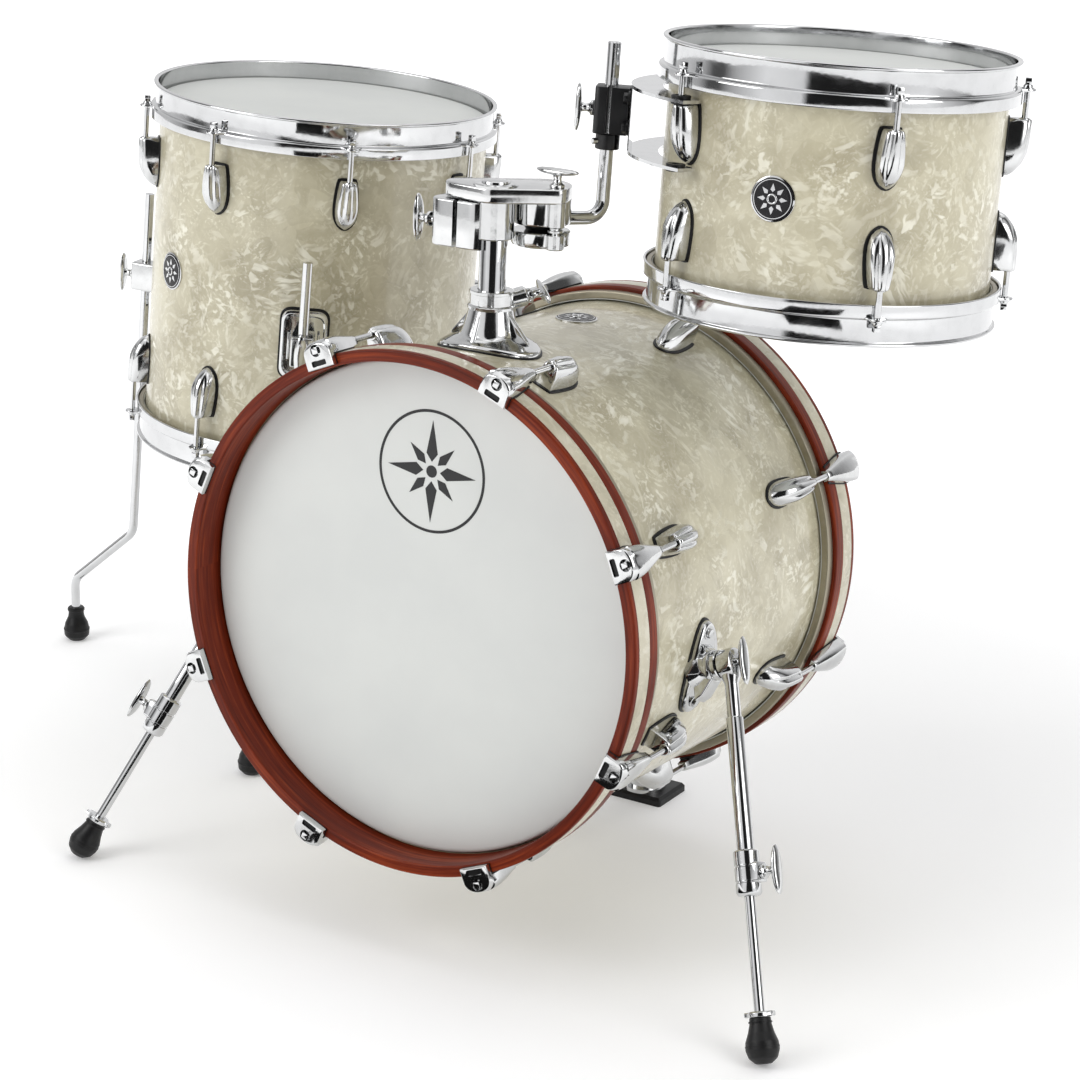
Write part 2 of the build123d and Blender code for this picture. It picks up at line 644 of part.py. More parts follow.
with BuildPart() as post_base:
    with BuildSketch(post.offset(-12)):
        base_outline()
    extrude(amount=19)
    fillet(post_base.faces().sort_by(Axis(post.origin, post.z_dir))[-1].edges(), 3)
    turned(post, [(0, 0), (30, 0), (28, 8), (19, 34), (19.5, 36), (19.5, BASE_TOP), (0, BASE_TOP)])
    for yaw in (0, 90, 180, 270):
        web = Plane(post.origin, x_dir=turned_dir(post, yaw), z_dir=-turned_dir(post, yaw + 90))
        reach = 42 if yaw in (0, 180) else 32
        with BuildSketch(web.offset(-2.5)):
            with BuildLine():
                Polyline((15, 2), (reach, 2), (reach, 6), (19, 34), (15, 34), close=True)
            make_face()
        extrude(amount=5)
    block(base_turn, (14, 32), (-8, 8), 36, BASE_TOP)
    disc(bass, BASS_R + GASKET, 0, 170, Mode.SUBTRACT)
    disc(post, POST_R + FIT, -20, 60, Mode.SUBTRACT)
    tilt = radians(BASE_LIFT)
    lift = base_turn.x_dir * cos(tilt) + base_turn.z_dir * sin(tilt)
    base_seat = Plane(base_turn.from_local_coords((33, 0, 44.5)), x_dir=lift.cross(base_turn.y_dir), z_dir=lift)
    disc(base_seat, 7, -8, 1)
    disc(base_seat, BOLT_R + FIT, -18, 3, Mode.SUBTRACT)
save(post_base, "post_base")
wing_bolt(base_seat.offset(1), "post_base_wing_bolt", BOLT_R, 17)

# ---------------------------------------------------------------- riser behind the bass drum
RISER_FOOT_TALL = 9
hold = side(rear_rim, 90, HOOP_OUT, HOOP_MID)
with BuildPart() as bass_riser:
    with BuildSketch(Plane(hold.from_local_coords((-25, 0, 0)), x_dir=hold.y_dir, z_dir=hold.x_dir)):
        with BuildLine():
            Polyline((-21, GAP), (19.4, GAP), (19.4, -12.8), (6, -12.8), (6, -17), (28, -17), (28, -4),
                     (88, 0), (88, 8), (-21, 8), close=True)
        make_face()
    extrude(amount=50)
    with BuildSketch(Plane.XY.offset(RISER_FOOT_TALL)):
        with Locations((0, -4)):
            Circle(18)
    extrude(amount=54)
    with BuildSketch(Plane.XY.offset(RISER_FOOT_TALL)):
        with Locations((0, -4)):
            Circle(23)
    extrude(amount=4)
save(bass_riser, "bass_riser")

with BuildPart() as bass_riser_foot:
    with BuildSketch():
        RectangleRounded(64, 56, 3)
    extrude(amount=RISER_FOOT_TALL)
    chamfer(bass_riser_foot.faces().sort_by(Axis.Z)[-1].edges(), 3)
save(bass_riser_foot, "bass_riser_foot")


# ---------------------------------------------------------------- spurs
def spur_frame(sign):
    """Frame of one spur: origin at its hub, z down the leg, x along its hinge."""
    angle = SPUR_ANGLE if sign > 0 else 180 - SPUR_ANGLE
    hub = polar(bass, angle, SPUR_HUB_R, SPUR_HUB_Z)
    tip = Vector(sign * SPUR_TIP[0], SPUR_TIP[1], SPUR_TIP[2])
    down = (tip - hub).normalized()
    hinge = down.cross(-bass.z_dir).normalized() * sign
    return Plane(hub, x_dir=hinge, z_dir=down), (tip - hub).length


def spur(sign, name):
    """Tube, sliding rod, rubber foot and the two bolts of one spur."""
    frame, long = spur_frame(sign)
    eye = Plane(frame.origin, x_dir=frame.z_dir, z_dir=frame.x_dir)
    with BuildPart() as tube:
        disc(eye, 13.5, -8, 8)
        disc(frame, SPUR_NECK_R, 8, SPUR_NECK)
        disc(frame, SPUR_TUBE_R, SPUR_NECK, SPUR_TUBE)
        disc(frame, 11.5, SPUR_TUBE - 40, SPUR_TUBE)
        grip = side(frame, 0, 0, SPUR_TUBE - 20)
        block(grip, (-8, 8), (-9, 9), 5, 15, 2)
        disc(frame, SPUR_ROD_R + FIT, SPUR_NECK + 5, SPUR_TUBE + 5, Mode.SUBTRACT)
        disc(eye, 4 + FIT, -20, 20, Mode.SUBTRACT)
        disc(grip, BOLT_R + FIT, 0, 20, Mode.SUBTRACT)
        fillet(tube.faces().sort_by(Axis(frame.origin, frame.z_dir))[-1].edges().sort_by(SortBy.RADIUS)[-1], 3)
    save(tube, f"spur_tube_{name}")
    wing_bolt(grip.offset(15), f"spur_wing_bolt_{name}", BOLT_R, 15 - SPUR_ROD_R - 0.6)
    with BuildPart() as rod:
        disc(frame, SPUR_ROD_R, 112, long - 16)
        turned(frame, [(0, long - 17), (SPUR_ROD_R, long - 17), (SPUR_ROD_R, long - 14), (0.6, long - 6),
                       (0, long - 6)])
    save(rod, f"spur_rod_{name}")
    foot_top = long - SPUR_FOOT
    with BuildPart() as foot:
        with BuildSketch(section(frame)):
            with BuildLine():
                bore = SPUR_ROD_R + FIT
                Line((bore, foot_top), (11, foot_top))
                Line((11, foot_top), (12.5, foot_top + 8))
                ThreePointArc((12.5, foot_top + 8), (14.3, foot_top + 17), (SPUR_FOOT_R, foot_top + 27))
                ThreePointArc((SPUR_FOOT_R, foot_top + 27), (12, long - 3.6), (bore, long))
                Line((bore, long), (bore, foot_top))
            make_face()
        revolve(axis=Axis(frame.origin, frame.z_dir))
        with BuildSketch(frame.offset(foot_top - 5)):
            Circle(11)
            Circle(SPUR_ROD_R + FIT, mode=Mode.SUBTRACT)
            with PolarLocations(12, 2):
                Rectangle(5, 7)
        extrude(amount=4.9)
    save(foot, f"spur_foot_{name}")
    wing_bolt(eye.offset(8 + GAP), f"spur_lock_bolt_{name}", 4, 30)
    return frame, eye


spur_right, eye_right = spur(1, "right")
spur_left, eye_left = spur(-1, "left")


def spur_pad_place(sign):
    """Where a spur bracket sits on the shell."""
    angle = SPUR_ANGLE - 4 if sign > 0 else 184 - SPUR_ANGLE
    return side(bass, angle, BASS_R, SPUR_HUB_Z - 8)


def spur_outline(grow=0.0):
    """Egg-shaped foot of a spur bracket, tall across the drum's axis."""
    Ellipse(45 + grow, 24 + grow)


with BuildPart() as spur_brackets:
    for sign, eye in ((1, eye_right), (-1, eye_left)):
        with BuildSketch(spur_pad_place(sign).offset(-6)):
            spur_outline()
        extrude(amount=14)
        disc(eye, 14, -48, -8 - GAP)
    with BuildSketch(bass.offset(-BASS_DEPTH / 2)):
        Circle(BASS_R + GASKET)
    extrude(amount=BASS_DEPTH, mode=Mode.SUBTRACT)
    for eye in (eye_right, eye_left):
        disc(eye, 4 + FIT, -30, 0, Mode.SUBTRACT)
save(spur_brackets, "spur_brackets")

with BuildPart() as bass_gaskets:
    lug_gaskets(bass, BASS_R, BASS_DEPTH, BASS_LUG_IN, BASS_LUGS)
    with BuildSketch(post.offset(-13)):
        base_outline(1.6)
        Circle(POST_R + 3, mode=Mode.SUBTRACT)
    extrude(amount=20)
    for sign in (1, -1):
        with BuildSketch(spur_pad_place(sign).offset(-7)):
            spur_outline(2)
        extrude(amount=14)
    skin(bass, BASS_R, BASS_DEPTH)
    for place in claw_places:
        lip = HOOP_WIDE / 2
        with BuildSketch(Plane(place.from_local_coords((-CLAW_WIDE / 2 - 1, 0, 0)), x_dir=place.y_dir,
                               z_dir=place.x_dir)):
            with BuildLine():
                Polyline((-lip, 0), (lip, 0), (lip, -8.5), (lip + PAD, -8.5), (lip + PAD, PAD),
                         (-lip, PAD), close=True)
            make_face()
        extrude(amount=CLAW_WIDE + 2)
save(bass_gaskets, "bass_gaskets")

# ---------------------------------------------------------------- floor tom
shell(floor_tom, FLOOR_R, FLOOR_DEPTH, "floor_shell", FLOOR_BADGE)
metal_hoops(floor_tom, FLOOR_R, FLOOR_DEPTH, FLOOR_ROD_OUT, FLOOR_LUGS, "floor_hoops")
metal_heads(floor_tom, FLOOR_R, FLOOR_DEPTH, "floor_heads")
lugs(floor_tom, FLOOR_R, FLOOR_DEPTH, FLOOR_ROD_OUT, FLOOR_LUG_IN, FLOOR_LUGS, "floor_lugs")
metal_rods(floor_tom, FLOOR_R, FLOOR_DEPTH, FLOOR_ROD_OUT, FLOOR_LUG_IN, FLOOR_LUGS, "floor_tension_rods")
badge(side(floor_tom, FLOOR_BADGE[0], FLOOR_R, FLOOR_BADGE[1]), floor_tom, FLOOR_R, FLOOR_DEPTH, "floor_badge")

BRACKET_WIDE = 48
BRACKET_TALL = 74
GRIP_TALL = 32
GRIP_OUT = LEG_OUT + 13

with BuildPart() as floor_leg_brackets:
    for angle, heading in LEGS:
        base = side(floor_tom, angle, FLOOR_R, BRACKET_MID)
        with BuildSketch(base.offset(-3)):
            RectangleRounded(BRACKET_WIDE, BRACKET_TALL, 12)
        extrude(amount=9)
        block(base, (-12, 12), (-GRIP_TALL / 2, GRIP_TALL / 2), -1, GRIP_OUT - FLOOR_R, 4)
    with BuildSketch(floor_tom.offset(-FLOOR_DEPTH / 2)):
        Circle(FLOOR_R + GASKET)
    extrude(amount=FLOOR_DEPTH, mode=Mode.SUBTRACT)
    for angle, heading in LEGS:
        bore = Plane(polar(floor_tom, angle, LEG_OUT, 0), z_dir=floor_tom.z_dir)
        disc(bore, LEG_R + FIT, BRACKET_MID - 50, BRACKET_MID + 50, Mode.SUBTRACT)
        disc(side(floor_tom, angle, GRIP_OUT, BRACKET_MID), BOLT_R + FIT, -10, 2, Mode.SUBTRACT)
save(floor_leg_brackets, "floor_leg_brackets")

with BuildPart() as floor_gaskets:
    lug_gaskets(floor_tom, FLOOR_R, FLOOR_DEPTH, FLOOR_LUG_IN, FLOOR_LUGS)
    for angle, heading in LEGS:
        with BuildSketch(side(floor_tom, angle, FLOOR_R, BRACKET_MID).offset(-5)):
            RectangleRounded(BRACKET_WIDE + 4, BRACKET_TALL + 4, 14)
        extrude(amount=10)
    skin(floor_tom, FLOOR_R, FLOOR_DEPTH)
save(floor_gaskets, "floor_gaskets")


def leg_line(angle, heading):
    """Corners of one leg: down its bracket, out, and down to its foot."""
    top = polar(floor_tom, angle, LEG_OUT, LEG_TOP)
    knee_drop = (top.Z - LEG_BEND_Z) / floor_axis.Z
    bend = top - floor_axis * knee_drop
    foot = bend + Vector(cos(radians(heading)), sin(radians(heading)), 0) * LEG_REACH
    return [top, bend, Vector(foot.X, foot.Y, LEG_KNEE_Z), Vector(foot.X, foot.Y, 8)]


def leg_foot(spot, name):
    """Bulb-shaped rubber foot on the floor."""
    stand = Plane((spot.X, spot.Y, 0))
    with BuildPart() as foot:
        with BuildSketch(section(stand)):
            with BuildLine():
                Line((0, 0), (7, 0))
                ThreePointArc((7, 0), (12.6, 3.5), (FOOT_R, 13))
                ThreePointArc((FOOT_R, 13), (13, 22), (9.5, 30))
                Line((9.5, 30), (8.5, FOOT_TALL))
                Line((8.5, FOOT_TALL), (LEG_R, FOOT_TALL))
                Line((LEG_R, FOOT_TALL), (LEG_R, 8))
                Line((LEG_R, 8), (0, 8))
                Line((0, 8), (0, 0))
            make_face()
        revolve(axis=Axis(stand.origin, stand.z_dir))
    save(foot, name)


for number, (angle, heading) in enumerate(LEGS, 1):
    corners = leg_line(angle, heading)
    pipe_path(corners, 22, LEG_R, f"floor_leg_{number}")
    leg_foot(corners[-1], f"floor_foot_{number}")
    wing_bolt(side(floor_tom, angle, GRIP_OUT, BRACKET_MID), f"floor_wing_bolt_{number}", BOLT_R,
              GRIP_OUT - LEG_OUT - LEG_R - 0.6)
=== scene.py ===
"""Acoustic drum kit in marine pearl with mahogany hoops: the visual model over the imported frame.
"""
import json
from collections import namedtuple
from math import cos, pi, radians, sin, sqrt, tan, tau

import bmesh
import bpy
from mathutils import Matrix, Vector


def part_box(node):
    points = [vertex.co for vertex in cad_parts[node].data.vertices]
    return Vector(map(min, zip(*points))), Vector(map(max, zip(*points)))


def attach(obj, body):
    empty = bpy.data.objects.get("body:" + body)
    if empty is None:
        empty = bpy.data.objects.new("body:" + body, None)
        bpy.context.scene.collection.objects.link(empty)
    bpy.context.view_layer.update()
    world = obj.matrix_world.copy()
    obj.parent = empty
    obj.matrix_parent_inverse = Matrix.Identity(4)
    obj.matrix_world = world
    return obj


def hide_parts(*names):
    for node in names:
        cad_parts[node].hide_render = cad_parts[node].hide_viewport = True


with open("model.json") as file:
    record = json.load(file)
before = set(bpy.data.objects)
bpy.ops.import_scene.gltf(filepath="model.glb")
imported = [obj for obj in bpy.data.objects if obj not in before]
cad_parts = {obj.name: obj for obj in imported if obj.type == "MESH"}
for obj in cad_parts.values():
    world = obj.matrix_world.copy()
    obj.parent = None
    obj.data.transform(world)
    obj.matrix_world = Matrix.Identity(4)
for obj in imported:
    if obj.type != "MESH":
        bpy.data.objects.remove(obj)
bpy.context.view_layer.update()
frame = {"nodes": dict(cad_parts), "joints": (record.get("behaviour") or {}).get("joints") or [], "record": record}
nodes = frame["nodes"]
joint = {j["name"]: j for j in frame["joints"]}

# ---- dimensions shared with the CAD
FLOOR_TURN = 44.1
PLY = 7  # shell thickness
RIM_UP = 19  # flanged rims, above the bearing edge
GASKET = 1.5
HOOP_IN, HOOP_OUT, HOOP_WIDE, HOOP_MID = 232, 243, 38, 14.2
INLAY_MID, INLAY_WIDE = 4, 18
BRACKET_MID = -42  # leg brackets, from the floor tom's middle
LEG_OUT = 204
LEG_BORE_R = 5.33
LEG_ANGLES = (-101, 149, 22)
HELD_LUGS = (144, -144)  # tom lugs that carry the suspension
GROMMETS = ((10.1, 16.6), (68.6, 76.4))  # rubber below and above them, from the tom's middle
CLAMP = (186, 217.5, 25.5, 68)  # tom clamp: inner and outer face, low and high
COLLAR = (63, 77.5)  # memory lock, up the upright rod
ROD_BORE_R = 6.45  # holes for the tom arm's rod
POST_R, POST_TOP = 12.7, 151
BALL_CUP_R = 17.1
BOLT_BORE_R = 3.6
PLATE, CUP_R, CUP_LOW, CAP = (132, 146), 27, 110, (90, 104)
BARREL = (26, 31, 58, 22, 88, 131)  # left clamp: split, outer end, half width, low and high
RECEIVER_X = -28.5
SPUR_TIP = Vector((385, -463, 3.7))
NECK_R, NECK, TUBE_R, TUBE = 6.3, 50, 7.75, 208  # spur leg: neck radius and end, tube radius and end
SPUR_THREAD_R = 4.9
PAD_SPOTS = {"right": -9, "left": 189}  # spur brackets round the bass drum
PAD_HEIGHT = 66


# ---- placing
def placed(origin, z_dir, x_dir):
    """Matrix of a frame from its origin, z axis and rough x axis."""
    z = Vector(z_dir).normalized()
    x = Vector(x_dir)
    x = (x - x.dot(z) * z).normalized()
    m = Matrix((x, z.cross(x), z)).transposed().to_4x4()
    m.translation = Vector(origin)
    return m


def axis(where, k):
    return where.col[k].xyz.copy()


def polar(where, angle, radius, height=0.0):
    a = radians(angle)
    return where @ Vector((radius * cos(a), radius * sin(a), height))


def side(where, angle, radius, height):
    """Frame on a drum's side: z points out, y along the drum's axis."""
    out = polar(where, angle, 1) - where.translation
    return placed(polar(where, angle, radius, height), out, axis(where, 2).cross(out))


def rims(where, depth):
    """Frames at the two bearing edges, z pointing out of the drum."""
    z = axis(where, 2)
    return [placed(where.translation + way * depth / 2, way, axis(where, 0)) for way in (z, -z)]


def lift(where, height):
    return where @ Matrix.Translation((0, 0, height))


def middle(node):
    low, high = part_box(node)
    return (low + high) * 500


def joint_at(name):
    return Vector(joint[name]["pos_m"]) * 1000


def joint_axis(name):
    return Vector(joint[name]["axis"])


X = Vector((1, 0, 0))
post_up = joint_axis("post_height")
bass = placed(middle("bass_shell"), X.cross(post_up), X)
post = placed(joint_at("holder_swivel"), post_up, X)
upright = placed(joint_at("tom_swivel"), joint_axis("tom_swivel"), joint_axis("arm_roll"))
tom_mid = middle("tom_shell")
tom = placed(tom_mid, joint_axis("tom_swivel"), tom_mid - joint_at("tom_swivel"))
floor_way = (cos(radians(FLOOR_TURN)), sin(radians(FLOOR_TURN)), 0)
floor_tom = placed(middle("floor_shell"), joint_axis("floor_leg_slide_1"), floor_way)

# rod: tension rods, out from the shell; lug_in: middle of a lug, in from the edge
Drum = namedtuple("Drum", "name body where radius depth rod lug_in lug_angles badge")
BASS = Drum("bass", "kit", bass, 228.6, 355.6, 21.4, 73.8, [22.5 + 45 * k for k in range(8)], (90, -72))
TOM = Drum("tom", "tom", tom, 152.4, 203.2, 14.6, 59, [-144 + 72 * k for k in range(5)], (-108, 0))
FLOOR = Drum("floor", "floor_tom", floor_tom, 177.8, 355.6, 15.2, 68, [45 * k for k in range(8)], (-157.5, 6))
bass_rims = rims(bass, BASS.depth)


# ---- shapes
def circle(radius, count=64):
    return [(radius * cos(tau * k / count), radius * sin(tau * k / count)) for k in range(count)]


def oblong(left, right, low, high):
    return [(left, low), (right, low), (right, high), (left, high)]


def turned(angle, points):
    """Points of one ray of a star, (out, across), turned from y towards x."""
    return [(r * sin(angle) + w * cos(angle), r * cos(angle) - w * sin(angle)) for r, w in points]


def rounded(points, radius, steps=5):
    """A closed outline with its corners rounded; radius may be a list, one per corner."""
    result = []
    for k, corner in enumerate(points):
        r = radius[k] if isinstance(radius, (list, tuple)) else radius
        here = Vector(corner)
        if r <= 0:
            result.append(tuple(here))
            continue
        a, b = Vector(points[k - 1]) - here, Vector(points[(k + 1) % len(points)]) - here
        reach = min(r / abs(tan(a.angle(b) / 2)), a.length * 0.48, b.length * 0.48)
        start, end = here + a.normalized() * reach, here + b.normalized() * reach
        for n in range(steps + 1):
            t = n / steps
            result.append(tuple(start * (1 - t) ** 2 + here * 2 * t * (1 - t) + end * t * t))
    return result


def hull(circles, steps=48):
    """Convex outline round some (x, y, radius) circles."""
    points = [Vector((x + px, y + py)) for x, y, r in circles for px, py in circle(r, steps)]
    points.sort(key=lambda p: (p.x, p.y))
    chain = []
    for run in (points, points[::-1]):
        part = []
        for p in run:
            while len(part) > 1 and (part[-1] - part[-2]).cross(p - part[-1]) <= 1e-9:
                part.pop()
            part.append(p)
        chain += part[:-1]
    return [tuple(p) for p in chain]


def egg(long, half, narrow, count=72):
    """Egg outline along x, its +x end the narrower by a share."""
    return [(long * x, half * (1 - narrow * x) * y) for x, y in circle(1, count)]


def lathe(bm, where, profile, steps=192):
    """Turn (radius, height) points about a frame's z axis."""
    rings = []
    for radius, height in profile:
        corners = circle(radius, steps) if abs(radius) > 1e-6 else [(0, 0)]
        rings.append([bm.verts.new(where @ Vector((x, y, height))) for x, y in corners])
    join_rings(bm, rings, steps, True)


def join_rings(bm, rings, steps, closed):
    pairs = list(zip(rings, rings[1:]))
    if closed:
        pairs.append((rings[-1], rings[0]))
    for low, high in pairs:
        for k in range(steps):
            n = (k + 1) % steps
            quad = [low[k % len(low)], low[n % len(low)], high[n % len(high)], high[k % len(high)]]
            corners = list(dict.fromkeys(quad))
            if len(corners) > 2:
                bm.faces.new(corners)


def loft(bm, rings):
    """Skin closed rings of points and cap both ends."""
    made = [[bm.verts.new(p) for p in ring] for ring in rings]
    join_rings(bm, made, len(made[0]), False)
    bm.faces.new(made[0][::-1])
    bm.faces.new(made[-1])


def prism(bm, where, outline, low, high):
    """Straight prism of an (x, y) outline between two heights."""
    loft(bm, [[where @ Vector((x, y, h)) for x, y in outline] for h in (low, high)])


def rod(bm, where, radius, low, high, chamfer=0.6, steps=24):
    """Round bar along a frame's z axis with eased ends."""
    c = min(chamfer, radius * 0.5)
    lathe(bm, where, [(0, low), (radius - c, low), (radius, low + c), (radius, high - c), (radius - c, high),
                      (0, high)], steps)


def stamp(bm, source, places=(Matrix(),)):
    """Copy a local shape to several frames and free it."""
    mesh = bpy.data.meshes.new("stamp")
    bmesh.ops.recalc_face_normals(source, faces=source.faces)
    source.to_mesh(mesh)
    source.free()
    for where in places:
        copy = mesh.copy()
        copy.transform(where)
        bm.from_mesh(copy)
        bpy.data.meshes.remove(copy)
    bpy.data.meshes.remove(mesh)


def soften(bm, width, segments=3, angle=30):
    """Round every edge sharper than an angle."""
    bm.normal_update()
    bmesh.ops.recalc_face_normals(bm, faces=bm.faces)
    sharp = [e for e in bm.edges if len(e.link_faces) == 2 and e.calc_face_angle(0) > radians(angle)]
    bmesh.ops.bevel(bm, geom=sharp, offset=width, segments=segments, affect="EDGES", profile=0.5, clamp_overlap=True)


def eased(bm, where, outline, low, high, width, segments=2, angle=30):
    """Add a prism with rounded edges."""
    part = bmesh.new()
    prism(part, where, outline, low, high)
    soften(part, width, segments, angle)
    stamp(bm, part)


def cut(bm, tool):
    """Take one closed mesh out of another."""
    made = []
    for source in (bm, tool):
        bmesh.ops.recalc_face_normals(source, faces=source.faces)
        mesh = bpy.data.meshes.new("cutting")
        source.to_mesh(mesh)
        source.free()
        made.append(bpy.data.objects.new("cutting", mesh))
        bpy.context.scene.collection.objects.link(made[-1])
    modifier = made[0].modifiers.new("cut", "BOOLEAN")
    modifier.operation = "DIFFERENCE"
    modifier.solver = "EXACT"
    modifier.object = made[1]
    bpy.context.view_layer.update()
    result = bmesh.new()
    result.from_mesh(made[0].evaluated_get(bpy.context.evaluated_depsgraph_get()).to_mesh())
    for obj in made:
        mesh = obj.data
        bpy.data.objects.remove(obj)
        bpy.data.meshes.remove(mesh)
    return result


def turned_out(bm, where, profile, steps=40):
    """Take a turned shape out of a mesh."""
    tool = bmesh.new()
    lathe(tool, where, profile, steps)
    return cut(bm, tool)


def bored(bm, where, radius, low, high, steps=40):
    """Take a round hole along a frame's z axis out of a mesh."""
    return turned_out(bm, where, [(0, low), (radius, low), (radius, high), (0, high)], steps)


def slotted(bm, where, outline, low, high):
    """Take a prism out of a mesh."""
    tool = bmesh.new()
    prism(tool, where, outline, low, high)
    return cut(bm, tool)


def piece(name, bm, material, body, *replaced, slot="chrome", sharp=35):
    """Finish a shape as a piece that rides on a body."""
    bmesh.ops.recalc_face_normals(bm, faces=bm.faces)
    mesh = bpy.data.meshes.new(name)
    bm.to_mesh(mesh)
    bm.free()
    mesh.transform(Matrix.Scale(0.001, 4))
    mesh.polygons.foreach_set("use_smooth", [True] * len(mesh.polygons))
    mesh.set_sharp_from_angle(angle=radians(sharp))
    mesh.materials.append(material)
    obj = bpy.data.objects.new(name, mesh)
    bpy.context.scene.collection.objects.link(obj)
    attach(obj, body)
    if replaced:
        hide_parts(*replaced)


# ---- materials
class Nodes:
    """The node tree of a new material or world, with short ways to add to it."""

    def __init__(self, owner):
        owner.use_nodes = True
        self.owner = owner
        self.tree = owner.node_tree
        self.shader = self.tree.nodes.get("Principled BSDF") or self.tree.nodes["Background"]

    def add(self, kind, settings=None, **inputs):
        node = self.tree.nodes.new("ShaderNode" + kind)
        for key, value in (settings or {}).items():
            setattr(node, key, value)
        for key, value in inputs.items():
            self.put(node, int(key[1:]) if key[1:].isdigit() else key.replace("_", " "), value)
        return node

    def put(self, node, key, value):
        if isinstance(value, bpy.types.NodeSocket):
            self.tree.links.new(value, node.inputs[key])
        else:
            node.inputs[key].default_value = value

    def math(self, operation, a, b=0.0, clamp=False):
        return self.add("Math", {"operation": operation, "use_clamp": clamp}, i0=a, i1=b).outputs[0]

    def vector(self, operation, a, b=(0, 0, 0)):
        node = self.add("VectorMath", {"operation": operation}, i0=a, i1=b)
        return node.outputs["Value" if operation == "DOT_PRODUCT" else "Vector"]

    def scaled(self, a, scale):
        return self.add("VectorMath", {"operation": "SCALE"}, i0=a, Scale=scale).outputs["Vector"]

    def coords(self):
        return self.add("TexCoord").outputs["Object"]

    def noise(self, at, scale, detail=3.0, roughness=0.5, output="Fac"):
        node = self.add("TexNoise", Vector=at, Scale=scale, Detail=detail, Roughness=roughness)
        return node.outputs[output]

    def cells(self, at, scale):
        """Voronoi cells: a random colour for each."""
        return self.add("TexVoronoi", {"feature": "F1"}, Vector=at, Scale=scale).outputs["Color"]

    def channel(self, colour, name):
        return self.add("SeparateColor", Color=colour).outputs[name]

    def ramp(self, value, stops):
        node = self.add("ValToRGB", Fac=value)
        ends = node.color_ramp.elements
        while len(ends) < len(stops):
            ends.new(0.5)
        for end, (at, colour) in zip(ends, stops):
            end.position = at
            end.color = (*colour, 1)
        return node.outputs["Color"]

    def grey(self, value, low, high, out_low=0.0, out_high=1.0):
        """A number from one range moved to another, kept within it."""
        return self.add("MapRange", Value=value, From_Min=low, From_Max=high, To_Min=out_low,
                        To_Max=out_high).outputs["Result"]

    def mix(self, factor, a, b):
        a, b = (c if isinstance(c, bpy.types.NodeSocket) else (*c, 1) for c in (a, b))
        return self.add("Mix", {"data_type": "RGBA"}, i0=factor, i6=a, i7=b).outputs[2]

    def bump(self, height, distance, strength=1.0):
        return self.add("Bump", Height=height, Distance=distance, Strength=strength).outputs["Normal"]

    def shade(self, **inputs):
        for key, value in inputs.items():
            name = key.replace("_", " ")
            if name == "Base Color" and not isinstance(value, bpy.types.NodeSocket):
                value = (*value, 1)
            self.put(self.shader, name, value)
        return self.owner


def make_pearl(name, deep, mid, light, flake, turn=0.0):
    """Cracked pearl sheet: angular patches, each filled with straight shards that run its own way."""
    n = Nodes(bpy.data.materials.new(name))
    centred = (0.5, 0.5, 0.5)
    at = n.vector("ADD", n.coords(), (turn, turn * 0.37, 0))
    warp = n.vector("SUBTRACT", n.noise(at, 38.0, 2.0, output="Color"), centred)
    bent = n.vector("ADD", at, n.scaled(warp, 0.012))
    shards = []
    for scale, fine, low, high, weight in ((27.0, 150.0, 0.53, 0.63, 1.0), (46.0, 260.0, 0.54, 0.66, 0.75),
                                           (70.0, 420.0, 0.55, 0.70, 0.45)):
        cells = n.cells(bent, scale)
        way = n.vector("NORMALIZE", n.vector("SUBTRACT", cells, centred))
        along = n.math("MULTIPLY", n.vector("DOT_PRODUCT", bent, way), 0.80)
        pulled = n.vector("SUBTRACT", bent, n.scaled(way, along))
        shard = n.grey(n.noise(pulled, fine, 2.0, 0.45), low, high)
        share = n.grey(n.channel(cells, "Green"), 0.15, 0.75, 0.15, 1.0)
        shards.append(n.math("MULTIPLY", n.math("MULTIPLY", shard, share, clamp=True), weight))
    cloud = n.math("MULTIPLY", n.noise(at, 11.0, 4.0, 0.62), 0.88)
    tone = n.math("MULTIPLY", n.channel(n.cells(bent, 52.0), "Blue"), 0.12)
    base = n.ramp(n.math("ADD", cloud, tone), [(0.36, deep), (0.5, mid), (0.66, light)])
    flakes = n.math("MAXIMUM", n.math("MAXIMUM", shards[0], shards[1]), shards[2])
    thick = n.grey(n.noise(at, 17.0, 3.0, 0.6), 0.36, 0.62, 0.25, 1.0)
    seen = n.math("MULTIPLY", n.math("MULTIPLY", flakes, thick), 0.74, clamp=True)
    return n.shade(Base_Color=n.mix(seen, base, flake), Roughness=n.grey(flakes, 0, 1, 0.36, 0.24),
                   Specular_IOR_Level=0.5, Coat_Weight=0.5, Coat_Roughness=0.06,
                   Normal=n.bump(n.noise(at, 420.0, 2.0), 0.00003))


